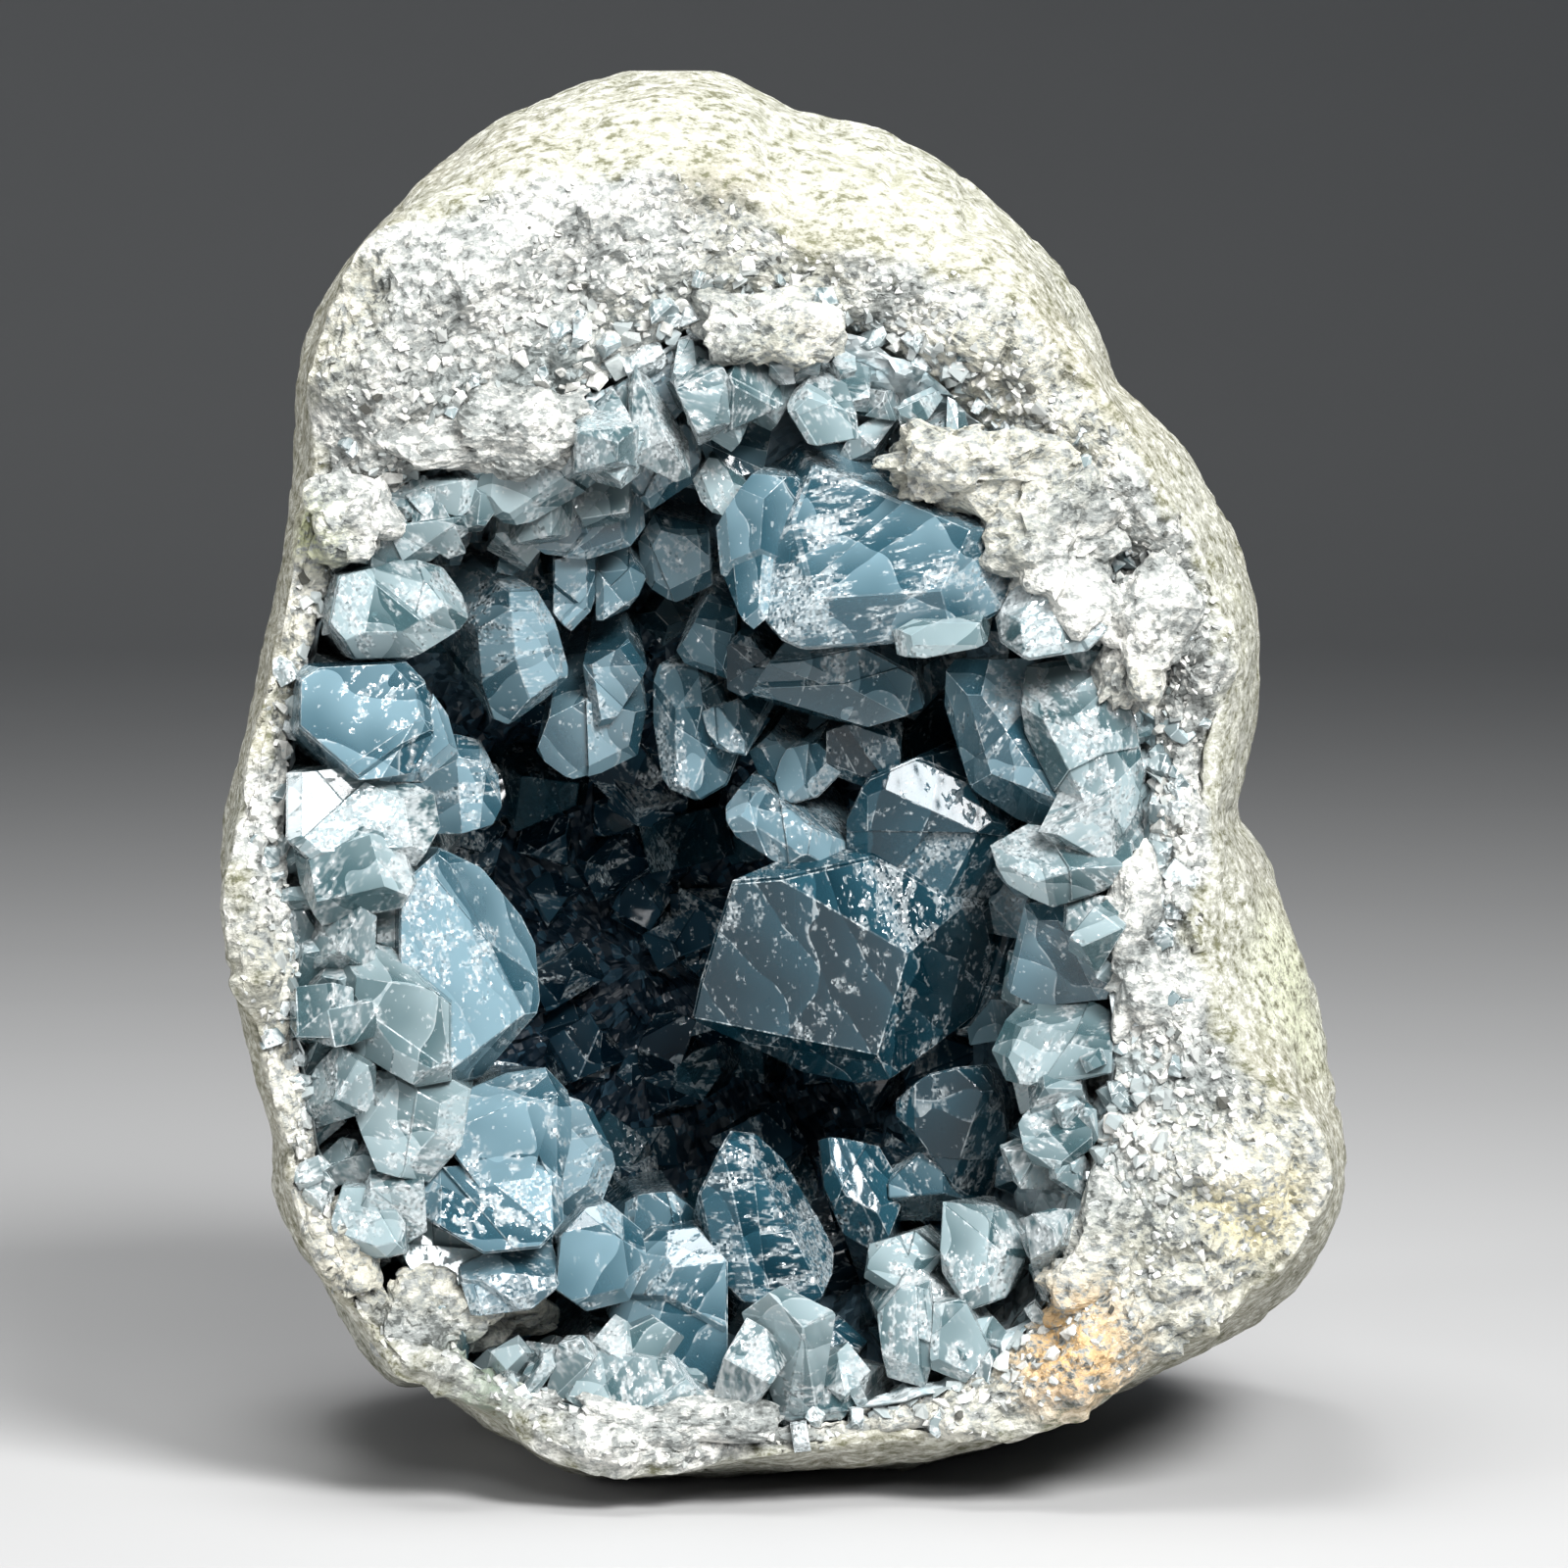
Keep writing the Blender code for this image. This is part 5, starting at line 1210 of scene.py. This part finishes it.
def make_crystals():
    """The large crystals in three pieces by their look, and the small ones along the mouth and the wall."""
    heaps = {look: Heap(SEED) for look in LOOKS if look != "mouth"}
    rng, extra = random.Random(SEED), random.Random(SEED + 1)
    for shape in CRYSTALS.values():
        make_crystal(heaps[shape[0]], shape, rng, extra)
    for number in range(RIM_CRYSTALS):
        angle = math.tau * (number + rng.uniform(-RIM_JITTER, RIM_JITTER)) / RIM_CRYSTALS
        size = rng.uniform(*RIM_CRYSTAL_SIZE)
        share = rng.uniform(*RIM_REACH)
        make_small_crystal(heaps["ice"], angle, share, size, rng, extra.uniform(*RIM_CLOUD))
    for number in range(WALL_CRYSTALS):
        angle = math.tau * (number * WALL_TURN % 1.0)
        size = rng.uniform(*WALL_CRYSTAL_SIZE)
        share = rng.uniform(*WALL_REACH)
        # Wall crystals farther in take the darker deep look, a painted shade.
        look = "slate" if share < SLATE_REACH else "deep"
        make_small_crystal(heaps[look], angle, share, size, rng, extra.uniform(*WALL_CLOUD))
    for count, sizes, power in FILLERS:
        for number in range(count):
            angle = extra.uniform(0.0, math.tau)
            share = FILLER_REACH * extra.random() ** power
            size = extra.uniform(*sizes)
            cloud = extra.uniform(*FILLER_CLOUD) * (1.0 - share)
            make_small_crystal(heaps[small_look(angle, share)], angle, share, size, extra, cloud)
    for shape in GAP_CRYSTALS:
        make_crystal(heaps[shape[0]], shape, rng, extra)
    for look, heap in heaps.items():
        material = crystal_material(f"{look}_celestite", LOOKS[look])
        finish_piece(heap.build(f"{look}_crystals"), "crystal_crust", material)


def make_bed():
    """The bed that the crystals stand on, a grainy bowl along the hollow's wall."""
    points, deep = [], []
    for column in range(BED_COLUMNS):
        angle = math.tau * column / BED_COLUMNS
        for row in range(1, BED_OUTER_ROWS):
            share = 1.0 - row / BED_OUTER_ROWS
            points.append(place(*ring_point(angle, *hollow_ring(angle, share, -BED_OUTSIDE))))
            deep.append(share)
        for row in range(BED_ROWS):
            share = row / BED_ROWS
            thickness = BED_THICKNESS * min(1.0, 3.0 * share)
            points.append(place(*ring_point(angle, *hollow_ring(angle, share, thickness))))
            deep.append(share)
    points.append(place(*HOLLOW_MIDDLE, HOLLOW_DEPTH + BED_OUTSIDE))
    points.append(place(*HOLLOW_MIDDLE, HOLLOW_DEPTH - BED_THICKNESS))
    deep += [1.0, 1.0]
    outside = BED_OUTER_ROWS - 1
    rows = BED_ROWS + outside
    # Each point keeps how far into the hollow it lies, which the bed's material turns into painted shade.
    piece = new_object("crust_bed", points, grid_faces(BED_COLUMNS, rows), sort="POINT", deep=deep)
    bm = bmesh.new()
    bm.from_mesh(piece.data)
    for vert in bm.verts:
        if vert.index % rows >= outside or vert.index >= BED_COLUMNS * rows:
            for face in vert.link_faces:
                face.normal_update()
            vert.normal_update()
            spot = points[vert.index] / MM
            lift = BED_RELIEF * noise.noise(spot / BED_SPAN + BED_SHIFT)
            lift += sum(facets(spot, span) * height for span, height in BED_FACETS)
            vert.co = in_box(points[vert.index] + vert.normal * lift * MM)
    bm.to_mesh(piece.data)
    bm.free()
    piece.data.update()
    return finish_piece(piece, "crystal_crust", bed_material())


# Grains of the broken face: how many shapes, their corners and radii, how thick they crowd, how large they
# are, how they grow towards the mouth, and how far they tilt and sink in.
SHARD_SHAPES = 14
SHARD_CORNERS = 9
SHARD_RADII = (0.5, 0.42, 0.36)
GRAIN_CROWD = (24.0, 0.15)
GRAIN_SIZE = (0.5, 1.2)
GRAIN_GROWTH = 2.6
GRAIN_TILT = 0.7
GRAIN_SINK = 0.02


def shard(rng):
    """The points and faces of a small broken grain of unit size."""
    spots = []
    for corner in range(SHARD_CORNERS):
        spot = swayed(rng, 1.0).normalized()
        spots.append(Vector([part * radius for part, radius in zip(spot, SHARD_RADII)]))
    bm = hull_of(spots)
    bm.verts.index_update()
    faces = [[vert.index for vert in face.verts] for face in bm.faces]
    points = [vert.co.copy() for vert in bm.verts]
    bm.free()
    return points, faces


def grain_material():
    """Sugary grains: mostly white and grey, some clear and some dark, each face of a grey grain lighter or
    darker at random as painted facet light.
    """
    r = Recipe("face_grains")
    spot = r.spot()
    tone, cloud, facet = (r.number(title) for title in ("tone", "cloud", "facet"))
    fine = r.noise(spot, 0.9, 3.0)
    white = r.mix(fine.rise(0.35, 0.65), (0.48, 0.48, 0.45), (0.78, 0.78, 0.74))
    # Each face of a grey grain gets its own brightness: painted facet light.
    grey = r.mix(facet, (0.24, 0.25, 0.24), (0.50, 0.52, 0.50))
    colour = r.mix(tone.rise(0.45, 0.6), white, grey)
    colour = r.mix(tone.rise(0.95, 0.97), colour, (0.06, 0.06, 0.05))
    colour = r.mix(cloud * tone.rise(0.3, 0.5) * 0.5, colour, (0.36, 0.45, 0.47))
    roughness = 0.55 - facet * 0.45
    return r.finish(colour, roughness, r.bump(fine, 0.15, 0.5), IOR=CELESTITE_IOR)


# Blocks along the mouth: how many, how far out they lie, their size, how it falls off outwards, how far they
# sink in and tilt, their other sides, and how many chips they lose and how near their middle.
MOUTH_BLOCKS = 150
MOUTH_REACH = (9.0, 0.75)
MOUTH_CROWD = 1.4
MOUTH_SIZE = (1.6, 5.2)
MOUTH_FALL = 0.06
MOUTH_FIT = (0.6, 0.4)
MOUTH_SINK = 0.3
MOUTH_TILT = 0.6
MOUTH_SIDES = ((0.7, 1.1), (0.5, 0.9))
MOUTH_CHIPS = 6
MOUTH_CHIP_AT = (0.28, 0.46)


def make_mouth_blocks():
    """Cloudy blocks and chips set in the broken face along the mouth, where rock passes into crystal."""
    rng = random.Random(SEED + 3)
    heap = Heap(SEED + 3)
    for number in range(MOUTH_BLOCKS):
        angle = rng.uniform(0.0, math.tau)
        mouth = looked_up(MOUTH_CURVE, angle)
        width = looked_up(RIND_CURVE, angle) - mouth
        out = rng.random() ** MOUTH_CROWD * min(MOUTH_REACH[0], MOUTH_REACH[1] * width)
        size = rng.uniform(*MOUTH_SIZE) * (1.0 - MOUTH_FALL * out)
        size = min(size, MOUTH_FIT[0] * width + MOUTH_FIT[1])
        depth = face_depth(angle, 1.0 - out / width) + size * MOUTH_SINK
        heart = place(*ring_point(angle, mouth + out, depth))
        axes = Matrix.Rotation(rng.uniform(0, math.tau), 3, "Y")
        axes = axes @ Matrix.Rotation(rng.uniform(-MOUTH_TILT, MOUTH_TILT), 3, "X")
        sides = Vector((1.0, *(rng.uniform(*limits) for limits in MOUTH_SIDES))) * size * 0.5 * MM
        corners = [Vector((x, y, z)) * sides for x in (-1, 1) for y in (-1, 1) for z in (-1, 1)]
        bm = hull_of([heart + axes @ corner for corner in corners])
        for chip in range(MOUTH_CHIPS):
            away = Vector((rng.uniform(-1, 1), rng.uniform(-1.2, 0.1), rng.uniform(-1, 1))).normalized()
            slice_off(bm, heart + away * size * rng.uniform(*MOUTH_CHIP_AT) * MM, away)
        heap.add_solid(bm, rng.random(), rng.uniform(0.5, 1.0), soften_edges(bm, EDGE_LEAST * MM))
    material = crystal_material("mouth_celestite", LOOKS["mouth"])
    return finish_piece(heap.build("mouth_blocks"), "crystal_crust", material)


# Lumps of granular rock that lap over the crystals, as (right, up), depth, and their width, height and
# thickness. Then how finely they are made, and the span and share of their waves and facets.
LUMPS = [((17.5, 109.0), -36.5, 8.5, 4.5, 4.5), ((28.5, 99.5), -36.0, 7.0, 7.0, 4.5),
         ((37.5, 90.0), -36.0, 4.5, 8.0, 4.0), ((-30.0, 112.0), -34.0, 11.0, 4.5, 4.0),
         ((-45.0, 102.5), -36.5, 4.5, 4.5, 3.5), ((36.0, 22.0), -38.0, 7.5, 8.5, 3.5),
         ((-14.0, 7.0), -40.0, 10.0, 2.6, 2.5), ((-46.0, 24.5), -39.0, 2.6, 5.5, 2.5),
         ((-2.0, 122.5), -34.0, 7.0, 4.0, 3.5), ((37.5, 56.0), -36.0, 3.5, 9.0, 3.0),
         ((-38.0, 18.5), -37.0, 5.5, 4.5, 3.5), ((-31.0, 18.0), -30.0, 5.0, 3.5, 4.5)]


LUMP_STEPS = 5
LUMP_WAVES = ((6.0, 0.7), (2.5, 0.35))
LUMP_FACETS = (1.8, 0.2)
LUMP_PAST = 12.0


def make_lumps(stone):
    """Granular rock lapping over the crystals' roots, each lump a rough flattened ball."""
    points, faces = [], []
    span, share = LUMP_FACETS
    for (right, up), depth, width, height, thickness in LUMPS:
        heart = place(right, up, depth)
        bm = bmesh.new()
        bmesh.ops.create_icosphere(bm, subdivisions=LUMP_STEPS, radius=1.0)
        bm.verts.index_update()
        start = len(points)
        faces += [[start + vert.index for vert in face.verts] for face in bm.faces]
        for vert in bm.verts:
            away = Vector((vert.co.x * width, vert.co.y * thickness, vert.co.z * height))
            spot = (heart + away * MM) / MM
            lift = 1.0 + sum(noise.noise(spot / wave) * rise for wave, rise in LUMP_WAVES)
            points.append(in_box(heart + away * (lift + share * facets(spot, span)) * MM))
        bm.free()
    piece = new_object("overlapping_rock", points, faces, sort="POINT", past=[LUMP_PAST] * len(points))
    return finish_piece(piece, "stone_shell", stone.data.materials[0])


def make_grains(stone, settings):
    """Grains set in the broken face, more of them and larger ones towards the mouth."""
    rng = random.Random(SEED + 2)
    shapes = [shard(rng) for number in range(SHARD_SHAPES)]
    heap = Heap(SEED)
    first = BACK_ROWS - 1 + SHOULDER_ROWS
    rows = first + FACE_ROWS + HOLLOW_ROWS
    crowd_width, least = GRAIN_CROWD
    for number in range(settings.grain_count):
        column, row = rng.randrange(COLUMNS), rng.randrange(FACE_ROWS + 2)
        angle = math.tau * column / COLUMNS
        width = looked_up(RIND_CURVE, angle) - looked_up(MOUTH_CURVE, angle)
        near_mouth = row / FACE_ROWS
        if rng.random() > width / crowd_width * (least + near_mouth):
            continue
        vert = stone.data.vertices[column * rows + first + row]
        size = rng.uniform(*GRAIN_SIZE) + rng.random() ** 3 * GRAIN_GROWTH * near_mouth
        turn = vert.normal.to_track_quat("Z", "X").to_matrix()
        turn = turn @ Matrix.Rotation(rng.uniform(0.0, math.tau), 3, "Z")
        turn = turn @ Matrix.Rotation(rng.uniform(-GRAIN_TILT, GRAIN_TILT), 3, "X")
        points, faces = rng.choice(shapes)
        foot = vert.co - vert.normal * size * GRAIN_SINK * MM
        heap.add([foot + turn @ (point * size * MM) for point in points], faces, rng.random(),
                 smooth_step(near_mouth, 0.5, 1.0))
    piece = heap.build("face_grains")
    return finish_piece(piece, "stone_shell", grain_material())


# The floor: where it starts and ends, and how it curves up behind.
FLOOR_FRONT = -2.2
FLOOR_BACK = 1.2
FLOOR_CURVE = 0.9
FLOOR_CURVE_STEPS = 16
FLOOR_TOP = 3.4
FLOOR_SIDE = 3.0

# The soft lights: place, size, power as a share of the key light's, and spread in degrees.
LIGHTS = {
    "key_softbox": ((0.34, -0.70, 0.66), (0.34, 0.34), 1.0, 70.0),
    "top_softbox": ((-0.15, -0.10, 0.95), (0.5, 0.4), 0.6, 90.0),
    "left_strip": ((-0.80, -0.55, 0.30), (0.14, 0.7), 0.22, 80.0),
    "front_fill": ((0.10, -1.10, 0.55), (0.3, 0.2), 0.15, 60.0),
}
AIR_COLOUR = (0.80, 0.86, 0.92, 1.0)
VIEW_NEAREST = 0.01

# How often light may bounce in all, and off dull, shining and clear surfaces.
LIGHT_BOUNCES = (2, 1, 1, 2)


def make_floor(settings):
    """A wide floor that curves up behind into a backdrop."""
    profile = [(FLOOR_FRONT, 0.0), (FLOOR_BACK, 0.0)]
    for step in range(1, FLOOR_CURVE_STEPS + 1):
        turn = math.pi / 2 * step / FLOOR_CURVE_STEPS
        profile.append((FLOOR_BACK + FLOOR_CURVE * math.sin(turn), FLOOR_CURVE * (1 - math.cos(turn))))
    profile.append((FLOOR_BACK + FLOOR_CURVE, FLOOR_TOP))
    points = [(side * FLOOR_SIDE, away, high) for away, high in profile for side in (-1, 1)]
    faces = [(2 * i, 2 * i + 1, 2 * i + 3, 2 * i + 2) for i in range(len(profile) - 1)]
    piece = new_object("studio_floor", points, faces, smooth=True)
    piece.data.materials.append(floor_material(settings))
    return piece


def make_lights(settings, middle):
    """The soft lights, aimed at the stone's middle, and the light of the room."""
    for name, (spot, size, share, spread) in LIGHTS.items():
        lamp = bpy.data.lights.new(name, "AREA")
        lamp.shape = "RECTANGLE"
        lamp.size, lamp.size_y = size
        lamp.energy = settings.key_strength * share
        lamp.spread = math.radians(spread)
        item = bpy.data.objects.new(name, lamp)
        item.location = spot
        item.rotation_euler = (middle - Vector(spot)).to_track_quat("-Z", "Y").to_euler()
        bpy.context.collection.objects.link(item)
    world = bpy.data.worlds.new("studio_air")
    world.use_nodes = True
    world.node_tree.nodes["Background"].inputs["Color"].default_value = AIR_COLOUR
    world.node_tree.nodes["Background"].inputs["Strength"].default_value = settings.air_strength
    bpy.context.scene.world = world


def make_view(settings, middle):
    """The camera, in front and slightly above, as the photograph was taken."""
    lens = bpy.data.cameras.new("view")
    reach = settings.camera_distance
    lens.lens = lens.sensor_width * reach / (VIEW_WIDTH * MM)
    lens.clip_start = VIEW_NEAREST
    view = bpy.data.objects.new("view", lens)
    view.location = middle + Vector((0.0, -math.cos(VIEW_TILT), math.sin(VIEW_TILT))) * reach
    view.rotation_euler = (middle - view.location).to_track_quat("-Z", "Y").to_euler()
    bpy.context.collection.objects.link(view)
    scene = bpy.context.scene
    scene.camera = view
    scene.view_settings.view_transform = "Standard"
    scene.view_settings.exposure = settings.exposure
    total, dull, shining, clear = LIGHT_BOUNCES
    scene.cycles.max_bounces = total
    scene.cycles.diffuse_bounces = dull
    scene.cycles.glossy_bounces = shining
    scene.cycles.transmission_bounces = clear


class StoneSettings(bpy.types.PropertyGroup):
    """The rock's colours and relief"""
    rind_colour: FloatVectorProperty(
        name="Rind", description="Colour of the smooth outer rind", subtype="COLOR", size=3, min=0.0, max=1.0,
        default=(0.355, 0.356, 0.300))
    broken_colour: FloatVectorProperty(
        name="Broken face", description="Colour of the granular broken face", subtype="COLOR", size=3,
        min=0.0, max=1.0, default=(0.67, 0.665, 0.62))
    crumb_height: FloatProperty(
        name="Crumbs", description="Height of the crumbly relief of the broken face", subtype="DISTANCE",
        unit="LENGTH", min=0.0, default=0.001)
    grain_height: FloatProperty(
        name="Grain", description="Height of the finest grain in millimetres", min=0.0, default=0.36)
    grain_count: IntProperty(
        name="Grains", description="How many places on the broken face are tried for a grain", min=0,
        default=9000)


class StageSettings(bpy.types.PropertyGroup):
    """The floor, the lights and the camera"""
    floor_colour: FloatVectorProperty(
        name="Floor", description="Colour of the floor and backdrop", subtype="COLOR", size=3, min=0.0,
        max=1.0, default=(0.46, 0.46, 0.46))
    key_strength: FloatProperty(
        name="Key light", description="Power of the main soft light", subtype="POWER", min=0.0, default=2.8)
    air_strength: FloatProperty(
        name="Room light", description="Brightness of the light from all around", min=0.0, default=0.13)
    camera_distance: FloatProperty(
        name="Camera", description="Distance of the camera from the stone", subtype="DISTANCE", unit="LENGTH",
        min=0.2, default=0.9)
    exposure: FloatProperty(name="Exposure", description="Brightness of the picture in stops", default=0.0)


class GEODE_OT_stone(bpy.types.Operator):
    """Makes the stone, the grains set in its broken face and the lumps that lap over the crystals"""
    bl_idname = "geode.make_stone"
    bl_label = "Stone"

    def execute(self, context):
        stone = make_stone(context.scene.geode_stone)
        make_grains(stone, context.scene.geode_stone)
        make_lumps(stone)
        return {"FINISHED"}


class GEODE_OT_bed(bpy.types.Operator):
    """Makes the bed that the crystals stand on"""
    bl_idname = "geode.make_bed"
    bl_label = "Crust bed"

    def execute(self, context):
        make_bed()
        return {"FINISHED"}


class GEODE_OT_crystals(bpy.types.Operator):
    """Makes the blocks along the mouth and the large and small crystals of the hollow"""
    bl_idname = "geode.make_crystals"
    bl_label = "Crystals"

    def execute(self, context):
        make_mouth_blocks()
        make_crystals()
        return {"FINISHED"}


class GEODE_OT_stage(bpy.types.Operator):
    """Makes the floor, the soft lights and the camera"""
    bl_idname = "geode.make_stage"
    bl_label = "Stage"

    def execute(self, context):
        settings = context.scene.geode_stage
        middle = Vector((0.0, MIDDLE_DEPTH * MM, MIDDLE_HEIGHT * MM))
        make_floor(settings)
        make_lights(settings, middle)
        make_view(settings, middle)
        return {"FINISHED"}


class GEODE_PT_panel(bpy.types.Panel):
    """Lists the geode's pieces and their settings"""
    bl_label = "Geode"
    bl_idname = "GEODE_PT_panel"
    bl_space_type = "VIEW_3D"
    bl_region_type = "UI"
    bl_category = "Geode"

    def draw(self, context):
        column = self.layout.column()
        for title in StoneSettings.__annotations__:
            column.prop(context.scene.geode_stone, title)
        column.operator(GEODE_OT_stone.bl_idname)
        column.operator(GEODE_OT_bed.bl_idname)
        column.operator(GEODE_OT_crystals.bl_idname)
        for title in StageSettings.__annotations__:
            column.prop(context.scene.geode_stage, title)
        column.operator(GEODE_OT_stage.bl_idname)


CLASSES = (StoneSettings, StageSettings, GEODE_OT_stone, GEODE_OT_bed, GEODE_OT_crystals, GEODE_OT_stage,
           GEODE_PT_panel)


def register():
    """Adds the settings, the operators and the panel."""
    for item in CLASSES:
        bpy.utils.register_class(item)
    bpy.types.Scene.geode_stone = PointerProperty(type=StoneSettings)
    bpy.types.Scene.geode_stage = PointerProperty(type=StageSettings)


def unregister():
    """Takes them away again."""
    del bpy.types.Scene.geode_stone
    del bpy.types.Scene.geode_stage
    for item in reversed(CLASSES):
        bpy.utils.unregister_class(item)


def main():
    """Makes every piece and the stage."""
    register()
    bpy.ops.geode.make_stone()
    bpy.ops.geode.make_bed()
    bpy.ops.geode.make_crystals()
    bpy.ops.geode.make_stage()


if __name__ == "__main__":
    main()
